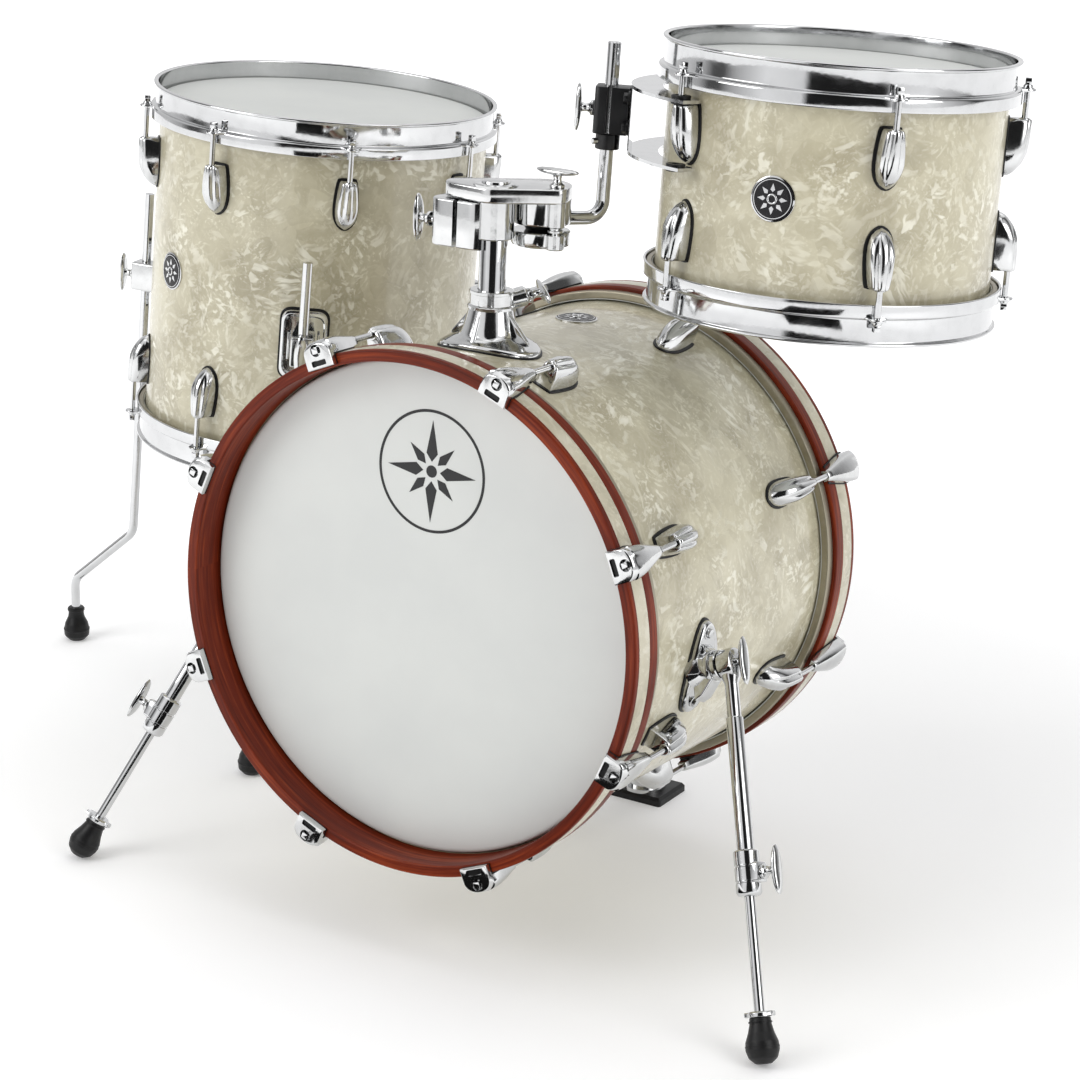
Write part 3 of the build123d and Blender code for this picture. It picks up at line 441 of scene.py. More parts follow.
def make_mahogany():
    """Lacquered red-brown wood, its grain running round the bass drum's hoops."""
    n = Nodes(bpy.data.materials.new("mahogany"))
    local = n.vector("SUBTRACT", n.coords(), tuple(bass.translation * 0.001))
    right, up, along = (n.vector("DOT_PRODUCT", local, tuple(axis(bass, k))) for k in range(3))
    radius = n.math("SQRT", n.math("ADD", n.math("MULTIPLY", up, up), n.math("MULTIPLY", right, right)))
    spread = n.add("CombineXYZ", X=n.math("MULTIPLY", along, 260.0), Y=n.math("MULTIPLY", radius, 260.0),
                   Z=n.math("MULTIPLY", n.math("ARCTAN2", up, right), 2.2)).outputs[0]
    grain = n.noise(spread, 1.3, 6.0, 0.62)
    pores = n.noise(n.vector("MULTIPLY", spread, (5.0, 5.0, 6.0)), 1.0, 2.0)
    tone = n.math("ADD", n.math("MULTIPLY", grain, 0.75), n.math("MULTIPLY", n.noise(n.coords(), 7.0, 2.0), 0.25))
    wood = n.ramp(tone, [(0.3, (0.055, 0.006, 0.0015)), (0.5, (0.140, 0.015, 0.003)), (0.72, (0.32, 0.050, 0.010))])
    colour = n.mix(n.grey(pores, 0.62, 0.78, 0.0, 0.45), wood, (0.03, 0.005, 0.003))
    return n.shade(Base_Color=colour, Roughness=n.grey(pores, 0.3, 0.8, 0.4, 0.55), Specular_IOR_Level=0.12,
                   Coat_Weight=0.15, Coat_Roughness=0.12, Normal=n.bump(grain, 0.00012))


def make_surface(name, first, second, mottle, grain, gloss, spread=(0, 1), by_grain=True, bump=None,
                 stretch=(1, 1, 1), **shader):
    """Two tones mottled by one noise, and a grain by another; gloss and spread are ranges of them."""
    n = Nodes(bpy.data.materials.new(name))
    at = n.vector("MULTIPLY", n.coords(), stretch)
    patches, grains = n.noise(at, *mottle), n.noise(at, *grain)
    if bump:
        shader["Normal"] = n.bump(grains, *bump)
    return n.shade(Base_Color=n.mix(n.grey(patches, *spread), first, second),
                   Roughness=n.grey(grains if by_grain else patches, *gloss), **shader)


DEEP, MID, LIGHT, FLAKE = (0.40, 0.36, 0.245), (0.50, 0.46, 0.325), (0.60, 0.56, 0.41), (0.95, 0.93, 0.80)
pearl = make_pearl("pearl_wrap", DEEP, MID, LIGHT, FLAKE)
inlay_pearl = make_pearl("pearl_inlay", (0.42, 0.385, 0.275), (0.53, 0.49, 0.365), (0.60, 0.56, 0.43),
                         (0.74, 0.70, 0.58), turn=0.31)
mahogany = make_mahogany()
# polished plating with faint smudges and a slight orange peel
chrome = make_surface("chrome", (0.63, 0.635, 0.64), (0.5859, 0.59055, 0.5952), (55.0, 4.0, 0.6), (160.0, 2.0),
                      (0.35, 0.75, 0.05, 0.12), spread=(0.45, 0.7), by_grain=False, bump=(0.00004, 0.6), Metallic=1.0)
# die-cast plating: the softer surface of a casting
cast = make_surface("cast_chrome", (0.64, 0.645, 0.645), (0.56, 0.565, 0.565), (40.0, 4.0, 0.6), (95.0, 3.0),
                    (0.35, 0.75, 0.07, 0.16), spread=(0.4, 0.7), by_grain=False, bump=(0.00012, 0.7), Metallic=1.0)
# coated drum head: matte, finely sprayed, faintly cloudy
film = make_surface("coated_film", (0.70, 0.715, 0.69), (0.665, 0.68, 0.66), (10.0, 3.0), (1500.0, 3.0, 0.7),
                    (0.3, 0.7, 0.5, 0.68), spread=(0.35, 0.65), bump=(0.00006,), Specular_IOR_Level=0.35)
# black moulded rubber, a little dusty; also the painted shade at the back of the claw slots
rubber = make_surface("rubber", (0.0035, 0.0035, 0.0038), (0.0091, 0.0091, 0.00988), (60.0, 4.0, 0.65),
                      (900.0, 3.0, 0.7), (0.3, 0.7, 0.34, 0.5), spread=(0.5, 0.75, 0.0, 0.5), by_grain=False,
                      bump=(0.00008,), Specular_IOR_Level=0.35)
# finely textured nylon of the tom clamp
nylon = make_surface("black_nylon", (0.003, 0.003, 0.0035), (0.007, 0.007, 0.008), (50.0, 3.0), (1400.0, 2.0),
                     (0.3, 0.7, 0.3, 0.45), bump=(0.00008,))
# satin aluminium of a head's flesh hoop, brushed round
flesh = make_surface("flesh_hoop", (0.30, 0.27, 0.20), (0.40, 0.365, 0.28), (160.0, 3.0), (160.0, 3.0),
                     (0.3, 0.7, 0.3, 0.45), bump=(0.00005,), stretch=(1, 14, 1), Metallic=0.75)
# glossy black of the badges' enamelled discs, and the painted shade in their air holes
enamel_and_shade = make_surface("black_enamel_and_shade", (0.006, 0.006, 0.007), (0.018, 0.018, 0.02), (300.0, 3.0), (300.0, 3.0),
                      (0.3, 0.7, 0.18, 0.3), Specular_IOR_Level=0.25)
ink = make_surface("black_print", (0.010, 0.010, 0.011), (0.020, 0.020, 0.021), (500.0, 3.0), (500.0, 3.0),
                   (0.3, 0.7, 0.45, 0.6))

by_slot = {"pearl_wrap": pearl, "mahogany": mahogany, "inlay": inlay_pearl, "head": film, "chrome": chrome,
           "rubber": rubber, "black_plastic": nylon, "badge": chrome}
for entry in frame["record"]["subparts"]:
    mesh = nodes[entry["node"]].data
    mesh.materials.clear()
    mesh.materials.append(by_slot[entry["material_slot"]])
for name in ("holder_body", "holder_caps", "spur_brackets", "floor_leg_brackets", "bass_riser", "post_base"):
    nodes[name].data.materials[0] = cast


# ---- drums: shells, hoops, heads, rims
def shell(drum):
    half, r, edge = drum.depth / 2, drum.radius, 5.5
    bm = bmesh.new()
    lathe(bm, drum.where, [(r - PLY, edge - half), (r - 1.6, -half), (r, 1.6 - half), (r, half - 1.6),
                           (r - 1.6, half), (r - PLY, half - edge)], 288)
    piece(drum.name + "_shell_wrap", bm, pearl, drum.body, drum.name + "_shell", slot="pearl_wrap", sharp=25)


def bass_hoops():
    """Wooden hoops with inlays, films and flesh hoops of the bass drum."""
    low, high = HOOP_MID - HOOP_WIDE / 2, HOOP_MID + HOOP_WIDE / 2
    cut_low, cut_high = HOOP_MID + INLAY_MID - INLAY_WIDE / 2, HOOP_MID + INLAY_MID + INLAY_WIDE / 2
    groove = HOOP_OUT - 1
    wood, inlay = bmesh.new(), bmesh.new()
    profile = rounded([(HOOP_IN, low), (HOOP_OUT, low), (HOOP_OUT, cut_low), (groove, cut_low),
                       (groove, cut_high), (HOOP_OUT, cut_high), (HOOP_OUT, high), (HOOP_IN, high)],
                      [1.2, 1.8, 0.3, 0, 0, 0.3, 2.2, 1.6])
    strip = rounded(oblong(HOOP_OUT - 1.2, HOOP_OUT + 0.05, cut_low + 0.1, cut_high - 0.1), [0, 0.5, 0.5, 0])
    for rim in bass_rims:
        lathe(wood, rim, profile, 320)
        lathe(inlay, rim, strip, 320)
    piece("bass_wood_hoops", wood, mahogany, "kit", "bass_hoops", slot="mahogany", sharp=40)
    piece("bass_inlay_strips", inlay, inlay_pearl, "kit", "bass_hoop_inlays", slot="inlay")
    for rim, node in zip(bass_rims, ("bass_front_head", "bass_batter_head")):
        sheet, ring = bmesh.new(), bmesh.new()
        lathe(sheet, rim, [(0, 0.35), (60, 0.35), (140, 0.35), (205, 0.35), (222, 0.35), (225.5, 0.5), (228, 0.2),
                           (229.4, -0.8), (230.2, -2.6), (231.2, -8), (231.4, -14), (230.6, -14), (229.6, -3),
                           (228.6, -1.2), (226, -0.4), (0, -0.4)], 256)
        outline = oblong(BASS.radius + 2.8, BASS.radius + 10.4, low - 10, low - 0.3)
        lathe(ring, rim, rounded(outline, 1.6), 256)
        piece(node + "_film", sheet, film, "kit", node, slot="head")
        piece(node + "_flesh_hoop", ring, flesh, "kit", slot="head")


def rim_ears(bm, rim, drum):
    """Pressed ears of a flanged rim, each the seat of a rod's washer."""
    for angle in drum.lug_angles:
        seat = placed(polar(rim, angle, 0, -8.4), axis(rim, 2), polar(rim, angle, 1) - rim.translation)
        root, reach = drum.radius + 6.5, drum.radius + drum.rod
        turns = [pi * k / 10 for k in range(11)]
        outline = [(root, -13), (reach - 2, -8.2), *((reach + 7.8 * sin(a), -7.8 * cos(a)) for a in turns),
                   (reach - 2, 8.2), (root, 13)]
        eased(bm, seat, outline, 0, 2.6, 0.8)


def flanged_rims(drum):
    """Two triple-flanged steel rims with rolled edges."""
    profile = [(3.2, -8.4), (3.2, RIM_UP - 0.4), (8.4, RIM_UP - 0.2), (8.6, RIM_UP - 3.2), (5.6, RIM_UP - 3.4),
               (5.6, -5.4), (10.6, -6.4), (10.8, -19), (8.4, -19), (8.2, -8.4)]
    profile = rounded([(drum.radius + out, up) for out, up in profile],
                      [0.4, 1.6, 1.5, 1.4, 1.2, 1.6, 3.0, 1.1, 1.1, 0.8])
    bm = bmesh.new()
    for rim in rims(drum.where, drum.depth):
        lathe(bm, rim, profile, 256)
        rim_ears(bm, rim, drum)
    piece(drum.name + "_rims", bm, chrome, drum.body, drum.name + "_hoops", sharp=40)


def metal_heads(drum):
    """Films and flesh hoops of a drum with steel rims."""
    sheet, ring = bmesh.new(), bmesh.new()
    r = drum.radius
    collar = [(-6, 0.4), (-2.4, 0.55), (-0.2, 0.2), (1.0, -1.0), (1.8, -4), (2.4, -9), (2.4, -16), (1.7, -16),
              (1.1, -4), (0.2, -1.6), (-3, -0.4)]
    profile = [(0, 0.4), (r * 0.5, 0.4), *((r + out, z) for out, z in collar), (0, -0.4)]
    for rim in rims(drum.where, drum.depth):
        lathe(sheet, rim, profile, 224)
        lathe(ring, rim, rounded(oblong(r + 2.6, r + 7.5, -17, -8.6), 1.2, 3), 224)
    piece(drum.name + "_films", sheet, film, drum.body, drum.name + "_heads", slot="head")
    piece(drum.name + "_flesh_hoops", ring, flesh, drum.body, slot="head")


# ---- lugs, pads, rods, claws, badges, wing bolts
def on_shell(drum, angle, height):
    """Map from a flat drawing to a drum's side: x around the shell, y up, z out."""
    def place(x, y, z):
        return polar(drum.where, angle + x / drum.radius * 180 / pi, drum.radius + z, height + y)
    return place


def stepped_disc(bm, place, outline, steps):
    """A closed outline bent onto a shell, shrunk and lifted by (share, height) steps."""
    layers = []
    for share, z in [(0, steps[0][1]), *steps, (0, steps[-1][1])]:
        corners = outline if share else [(0, 0)]
        layers.append([bm.verts.new(place(x * share, y * share, z)) for x, y in corners])
    join_rings(bm, layers, len(outline), False)


def curved_disc(bm, place, radius, low, high):
    """A flat disc bent onto a shell."""
    stepped_disc(bm, place, circle(radius), [(1, low), (1, high - 0.25), (0.975, high), (0.75, high), (0.5, high),
                                             (0.25, high)])


def bent_pad(radius, outline, thick=GASKET):
    """Thin rubber pad that follows a shell, z out of it."""
    def place(x, y, z):
        return Vector((x, y, sqrt(radius ** 2 - x ** 2) - radius + z))
    bm = bmesh.new()
    stepped_disc(bm, place, outline, [(1, -0.3), (1, thick - 0.3), (0.99, thick), (0.6, thick), (0.3, thick)])
    return bm


def hex_bolt(bm, where, radius=5.2, tall=4.2):
    """Hexagon head on its washer, z out."""
    lathe(bm, where, [(0, -1), (radius + 1.6, -1), (radius + 1.6, 0.8), (radius + 1, 1.2), (0, 1.2)], 28)
    eased(bm, where, circle(radius, 6), 1, 1 + tall, 0.5)


LUG_WIDE = 12


def lug_shape(drum):
    """Bullet lug on its seat, z out of the shell: flat end at +y, a ridge between two lobes, a round end at -y."""
    # along the lug: place, share of its width, share of its height
    stations = [(26, 0.64, 0.95), (25.2, 0.71, 0.985), (23, 0.77, 1), (15, 0.88, 1), (5, 0.97, 0.985), (-4, 1, 0.94),
                (-10, 0.97, 0.86), (-15, 0.88, 0.75), (-19, 0.74, 0.61), (-22.2, 0.55, 0.47), (-24.4, 0.34, 0.33),
                (-25.6, 0.16, 0.22), (-26, 0.05, 0.16)]
    # half a section with its ridge, as shares of width and height
    half = [(0, 1.0), (0.16, 0.99), (0.28, 0.955), (0.36, 0.895), (0.42, 0.835), (0.5, 0.83), (0.62, 0.85),
            (0.74, 0.83), (0.85, 0.765), (0.93, 0.66), (0.98, 0.52), (1.0, 0.36), (1.0, 0.16)]
    bm = bmesh.new()
    rings = []
    for y, wide, high in stations:
        ridge = min(1.0, max(0.0, (y + 22) / 18))
        edge = [(-u, v * ridge + (0.93 - 0.62 * u ** 3.2) * (1 - ridge) if v > 0.5 else v) for u, v in half[::-1]]
        edge += [(-x, v) for x, v in edge[::-1][1:]]
        points = [(x * LUG_WIDE * wide, v * (drum.rod + 7) * high) for x, v in edge]
        for x in (LUG_WIDE * wide, 4 * wide, -4 * wide, -LUG_WIDE * wide):
            points.append((x, sqrt(drum.radius ** 2 - x ** 2) - drum.radius + 0.9))
        rings.append([Vector((x, y, z)) for x, z in points])
    loft(bm, rings)
    nut = placed((0, 25.5, drum.rod), (0, 1, 0), (1, 0, 0))
    lathe(bm, nut, [(0, -4), (5.2, -4), (5.2, 0.6), (4.6, 1.4), (3.4, 1.4), (3.2, 0.4), (0, 0.4)], 24)
    return bm


def lug_pad_outline(grow=1.7):
    """Outline of the pad under a lug: the lug's own, a little larger."""
    right = [(8.2, 26.4), (9.4, 23), (10.7, 15), (11.7, 5), (12, -4), (11.7, -10), (10.6, -15), (8.9, -19),
             (6.7, -22.2), (4.2, -24.4), (2, -25.7)]
    half = [(6.5, 27.9)]
    for k, (x, y) in enumerate(right):
        way = (Vector(right[min(len(right) - 1, k + 1)]) - Vector(right[max(0, k - 1)])).normalized()
        half.append((x - way.y * grow, y + way.x * grow))
    half.append((0, -26 - grow))
    return half + [(-x, y) for x, y in half[-2::-1]]


def lug_places(drum):
    return [side(rim, a, drum.radius, -drum.lug_in) for rim in rims(drum.where, drum.depth) for a in drum.lug_angles]


def claw_places():
    return [side(rim, a, HOOP_OUT, HOOP_MID) for rim in bass_rims for a in BASS.lug_angles]


def bass_pads(bm):
    """Under the post base, the spur brackets and the claws."""
    stamp(bm, bent_pad(BASS.radius, [(51.6 * x, 37.6 * y) for x, y in circle(1, 96)]), [post])
    for name, spot in PAD_SPOTS.items():
        narrow = 0.12 if name == "right" else -0.12
        stamp(bm, bent_pad(BASS.radius, egg(46.6, 24.6, narrow)), [side(bass, spot, BASS.radius, PAD_HEIGHT)])
    lip, half, thick = HOOP_WIDE / 2, 15.4, 0.75
    liner = bmesh.new()
    prism(liner, Matrix(), [(-8.9, -lip - 0.6), (8.9, -lip - 0.6), (half - 0.1, 10), (half, lip + thick),
                            (-half, lip + thick), (0.1 - half, 10)], 0.1, 1.2)
    prism(liner, Matrix(), oblong(-half, half, lip + 0.05, lip + thick), -9.6, 0.8)
    stamp(bm, liner, claw_places())


def tom_pads(bm):
    """Grommets of the suspension."""
    for angle in HELD_LUGS:
        hub = placed(polar(tom, angle, TOM.radius + TOM.rod), axis(tom, 2), X)
        for low, high in GROMMETS:
            profile = [(3.4, low), (9, low), (8.2, (low + high) / 2), (9, high), (3.4, high)]
            lathe(bm, hub, rounded(profile, [0.3, 1, 1.5, 1, 0.3]), 48)


def floor_pads(bm):
    """Under the leg brackets."""
    outline = rounded(oblong(-26.4, 26.4, -39.4, 39.4), 14, 10)
    stamp(bm, bent_pad(FLOOR.radius, outline), [side(floor_tom, a, FLOOR.radius, BRACKET_MID) for a in LEG_ANGLES])


def gaskets(drum, others):
    """Black pads under a drum's lugs and under everything else that stands on it."""
    bm = bmesh.new()
    stamp(bm, bent_pad(drum.radius, lug_pad_outline()), lug_places(drum))
    others(bm)
    piece(drum.name + "_pads", bm, rubber, drum.body, drum.name + "_gaskets", slot="rubber")


def lugs(drum):
    bm = bmesh.new()
    stamp(bm, lug_shape(drum), lug_places(drum))
    piece(drum.name + "_cast_lugs", bm, cast, drum.body, drum.name + "_lugs", sharp=50)


def rod_shape(low, high, seat, washer=5.6):
    """Tension rod along z: threaded shank, washer and square head."""
    bm = bmesh.new()
    rod(bm, Matrix(), 2.9, low, high, 0.4, 16)
    lathe(bm, Matrix(), rounded(oblong(0, washer, seat, seat + 1.2), [0, 0.4, 0.4, 0], 2), 24)
    top = seat + 1.2
    lathe(bm, Matrix(), [(0, top), (4.4, top), (4.4, top + 1.4), (3.7, top + 2.5), (0, top + 2.5)], 24)
    eased(bm, Matrix(), oblong(-3, 3, -3, 3), top + 2.2, top + 8.4, 0.6)
    return bm


def metal_rods(drum):
    places = []
    for rim in rims(drum.where, drum.depth):
        for angle in drum.lug_angles:
            out = polar(rim, angle, 1) - rim.translation
            places.append(placed(polar(rim, angle, drum.radius + drum.rod, -6), axis(rim, 2), out))
    bm = bmesh.new()
    stamp(bm, rod_shape(12 - drum.lug_in, 0.5, 0), places)
    piece(drum.name + "_rods", bm, chrome, drum.body, drum.name + "_tension_rods", sharp=40)


CLAW_ROD = BASS.radius + BASS.rod - HOOP_OUT  # rod's middle, out from the hoop
CLAW_FACE = HOOP_WIDE / 2 + 0.8
CLAW_FRONT = placed((0, CLAW_FACE + 6, 0), (0, 1, 0), (1, 0, 0))


def claw_shape():
    """Claw hook: y towards the open end, z out of the hoop; shield-shaped, with a slot and a rod recess in front."""
    # (y, half width, crown above the rod, underside)
    sections = [(-32, 4.4, 3.4, CLAW_ROD - 3.4), (-31, 5.2, 4.2, CLAW_ROD - 4.2), (-26, 6.2, 5.0, CLAW_ROD - 4.6),
                (-19, 8.0, 6.2, 1.3), (-10, 10.2, 7.6, 1.3), (0, 12.4, 8.8, 1.3), (10, 14.2, 9.2, 1.3),
                (CLAW_FACE - 0.4, 15, 8.6, 1.3), (CLAW_FACE + 0.1, 15, 8.6, -9.4), (CLAW_FACE + 4.4, 15, 7.4, -9.4),
                (CLAW_FACE + 5.6, 14.4, 6.4, -8.9), (CLAW_FACE + 6, 13.4, 5.2, -8)]
    rings = []
    for y, wide, crown, low in sections:
        tall = CLAW_ROD + crown - low
        turns = [pi * k / 16 for k in range(17)]
        ring = [Vector((-wide * cos(a), y, low + tall * (0.42 + 0.58 * abs(sin(a)) ** 0.62))) for a in turns]
        rings.append(ring + [Vector((x, y, low)) for x in (wide, wide * 0.5, 0, -wide * 0.5, -wide)])
    bm = bmesh.new()
    loft(bm, rings)
    bm = slotted(bm, CLAW_FRONT, rounded(oblong(-8, 8, 1.6, 7.2), 1.6, 3), -3.5, 3)
    return bored(bm, placed((0, CLAW_FACE + 6, CLAW_ROD), (0, 1, 0), (1, 0, 0)), 5.6, -8, 4, 28)


def claws():
    places = claw_places()
    along = placed((0, 0, CLAW_ROD), (0, 1, 0), (1, 0, 0))
    cast_bm, rods, pads, pad = bmesh.new(), bmesh.new(), bmesh.new(), bmesh.new()
    stamp(cast_bm, claw_shape(), places)
    piece("bass_cast_claws", cast_bm, cast, "kit", "bass_claws", sharp=38)
    stamp(rods, rod_shape(4 - BASS.lug_in - HOOP_MID, CLAW_FACE - 2, CLAW_FACE - 2, 5.0), [p @ along for p in places])
    piece("bass_rods", rods, chrome, "kit", "bass_tension_rods", sharp=40)
    # painted shade: a black sheet at the back of each claw's slot darkens the recess
    prism(pad, CLAW_FRONT, rounded(oblong(-7.6, 7.6, 2.0, 6.8), 1.4, 3), -3.4, -1.6)
    stamp(pads, pad, places)
    piece("claw_slot_shade", pads, rubber, "kit", slot="rubber")


def badge(drum):
    """Black-enamelled disc with a silver rim, a plain star motif and an air-hole grommet whose dark hole is painted
    shade, a black disc.
    """
    name, place = drum.name + "_badge", on_shell(drum, *drum.badge)
    silver, black, marks, vent_shade = bmesh.new(), bmesh.new(), bmesh.new(), bmesh.new()
    curved_disc(silver, place, 20, 0, 1.4)
    curved_disc(black, place, 18.6, 1.0, 1.75)
    piece(name + "_plate", silver, chrome, drum.body, name, slot="badge")
    piece(name + "_enamel", black, enamel_and_shade, drum.body, slot="badge")
    outer, inner = circle(17.3, 72), circle(16.6, 72)
    for k in range(72):
        n = (k + 1) % 72
        loft(marks, [[place(x, y, z) for x, y in (outer[k], outer[n], inner[n], inner[k])] for z in (1.6, 2.0)])
    for k in range(8):
        petal = turned(tau * k / 8, ((6.2, 0), (8.2, -2.1), (13.6, 0), (8.2, 2.1)))
        loft(marks, [[place(x, y, z) for x, y in petal] for z in (1.6, 2.05)])
    hub = placed(place(0, 0, 0), place(0, 0, 1) - place(0, 0, 0), axis(drum.where, 2))
    lathe(marks, hub, rounded(oblong(2.9, 4.9, 0.5, 3.0), [0, 0, 1, 1], 4), 40)
    piece(name + "_marks", marks, chrome, drum.body, slot="badge", sharp=60)
    # painted shade: a black disc inside the grommet stands for the dark hole into the drum
    rod(vent_shade, hub, 3.0, 0.2, 1.9, 0.1)
    piece(name + "_vent", vent_shade, enamel_and_shade, drum.body, slot="badge")


def wing_shape(shank_r, shank):
    """Cast T-bolt on its seat: shank, collar, waisted neck and an oval domed wing across it."""
    bm = bmesh.new()
    lathe(bm, Matrix(), [(0, -shank), (shank_r - 0.5, -shank), (shank_r, 0.5 - shank), (shank_r, 0.5), (6.6, 0.5),
                         (7, 1.0), (7, 3.2), (6.4, 3.9), (5.1, 4.4), (3.9, 6.2), (3.6, 9), (4.5, 12), (6.1, 14),
                         (0, 14)], 28)
    rings = []
    for z, share in ((11.9, 0.42), (12.1, 0.7), (12.6, 0.88), (13.5, 0.975), (14.6, 1.0), (15.6, 0.985),
                     (16.5, 0.92), (17.2, 0.78), (17.7, 0.5), (17.9, 0.22)):
        waist, lift_by = (0.16 if z < 14 else 0.064), (1.44 if z < 15 else 0.4)
        rings.append([Vector((22 * share * x, 7.5 * share * y * (1 - waist * y * y), z + lift_by * share * x * x))
                      for x, y in circle(1, 48)])
    loft(bm, rings)
    return bm


def wing_bolt(name, joint_name, body, node, x_dir, shank_r=3.5, shank=9):
    bm = bmesh.new()
    stamp(bm, wing_shape(shank_r, shank), [placed(joint_at(joint_name), joint_axis(joint_name), x_dir)])
    piece(name, bm, cast, body, node, sharp=40)


def emblem():
    """Plain eight-point star in a ring, printed black on the front head."""
    low, high = 0.32, 0.6
    bm = bmesh.new()
    spot = bass_rims[0] @ Matrix.Translation((6, 130, 0))
    lathe(bm, spot, oblong(54, 56.6, low, high), 120)
    for k in range(8):
        tip, wing = (47, 6) if k % 2 == 0 else (33, 4.6)
        prism(bm, spot, turned(tau * k / 8, ((9, 0), (16.5, wing), (tip, 0), (16.5, -wing))), low, high)
    lathe(bm, spot, [(0, low), (5.6, low), (5.6, high), (0, high)], 32)
    piece("front_emblem", bm, ink, "kit", slot="head")


# ---- post, base, tom clamp and holder
def tom_post():
    bm = bmesh.new()
    lathe(bm, post, [(0, -108), (POST_R - 1, -110), (POST_R, -109), (POST_R, POST_TOP - 3),
                     (POST_R - 0.7, POST_TOP - 1), (POST_R - 3, POST_TOP), (0, POST_TOP)], 64)
    piece("post_tube", bm, chrome, "post", "tom_post")


def post_base():
    """Post base: oval flange bent onto the shell, a flared neck with collars, four webs and a clamp boss."""
    # (radius along the drum, across it, height, share of the shell's fall that it follows)
    oval = [(50, 36, 1.6, 1.0), (50, 36, 3.6, 1.0), (49.3, 35.3, 4.8, 1.0), (47.5, 33.6, 5.6, 1.0),
            (42, 31, 7.0, 0.75), (35, 28.5, 8.8, 0.35), (29.5, 27, 10.2, 0.0), (27, 26.2, 12.5, 0.0)]
    neck = [(24.6, 18), (22.4, 26), (20.6, 33.6), (21.6, 34.2), (21.8, 36.6), (20.8, 37.6), (19.6, 38.0),
            (19.6, 47.6), (20.4, 48.0), (20.4, 50.4), (19.4, 51.2), (13.2, 51.2), (13.0, 44)]
    profile = oval + [(r, r, z, 0.0) for r, z in neck] + [(13.0, 13.0, 1.6, 0.3)]
    steps = 96
    bm = bmesh.new()
    rings = []
    for rx, ry, z, follow in profile:
        ring = []
        for cx, cy in circle(1, steps):
            fall = sqrt(BASS.radius ** 2 - (rx * cx) ** 2) - BASS.radius
            ring.append(bm.verts.new(post @ Vector((rx * cx, ry * cy, z + follow * fall))))
        rings.append(ring)
    join_rings(bm, rings, steps, True)
    for yaw, reach in ((0, 42), (90, 32), (180, 42), (270, 32)):
        out = polar(post, yaw, 1) - post.translation
        web = [(16, 6), (reach, 5), (reach - 2, 9), (21, 31), (16, 31)]
        eased(bm, placed(post.translation, out.cross(axis(post, 2)), out), web, -2.4, 2.4, 1.1)
    wing = placed(joint_at("post_base_wing_turn"), joint_axis("post_base_wing_turn"), axis(post, 2))
    rod(bm, lift(wing, -1), 8.2, -15, 0.2, 1.2, 32)
    piece("post_base_casting", bm, cast, "kit", "post_base", sharp=38)


def tom_clamp():
    """Black clamp block split along the rod, its four nuts, and the memory lock below it."""
    frontal = placed(tom.translation, axis(tom, 2), -axis(tom, 0))
    inner, outer, low, high = CLAMP
    block, nuts = bmesh.new(), bmesh.new()
    prism(block, frontal, rounded(oblong(inner + 0.2, outer, -15, 15), [1, 5, 5, 1]), low, high)
    soften(block, 0.9, 2, 50)
    block = bored(block, upright, ROD_BORE_R, -60, 230)
    block = slotted(block, frontal, oblong(201.8, 206.2, -20, 20), low - 5, high + 5)
    piece("tom_clamp_block", block, nylon, "tom", "tom_mount_clamp", slot="black_plastic", sharp=40)
    for height in (low + 8, high - 8):
        for across in (-19.4, 19.4):
            at = frontal @ Vector((inner - 0.4, across, height))
            hex_bolt(nuts, placed(at, axis(frontal, 0), axis(frontal, 2)))
    piece("tom_clamp_nuts", nuts, nylon, "tom", slot="black_plastic")

    collar, screw = bmesh.new(), bmesh.new()
    mid = sum(COLLAR) / 2
    lathe(collar, upright, rounded(oblong(ROD_BORE_R, 11, *COLLAR), [0.4, 1.4, 1.4, 0.4]), 72)
    lug_frame = side(upright, 180, 10.2, mid)
    rod(collar, lug_frame, 4.6, -2, 3.4, 0.8, 28)
    collar = slotted(collar, side(upright, -74, 9, mid), oblong(-1.1, 1.1, -12, 12), -2.4, 6)
    piece("memory_lock_collar", collar, nylon, "lock", "memory_lock", slot="black_plastic", sharp=40)
    rod(screw, lug_frame, 2.9, 0, 5.8)
    piece("memory_lock_screw", screw, chrome, "lock")


def barrel_half(near, far):
    """The split clamp between two distances from the post."""
    outer, half, low, high = BARREL[2:]
    bm = bmesh.new()
    prism(bm, post, rounded(oblong(-outer, 0, -half, half), 14, 8), low, high)
    soften(bm, 1.6, 3, 60)
    bm = slotted(bm, post, oblong(-near, 60, -60, 60), 0, 200)
    if far < outer:
        bm = slotted(bm, post, oblong(-200, -far, -60, 60), 0, 200)
    return bored(bm, post @ Matrix.Translation((RECEIVER_X, 0, 0)), 6.43, 60, 170)


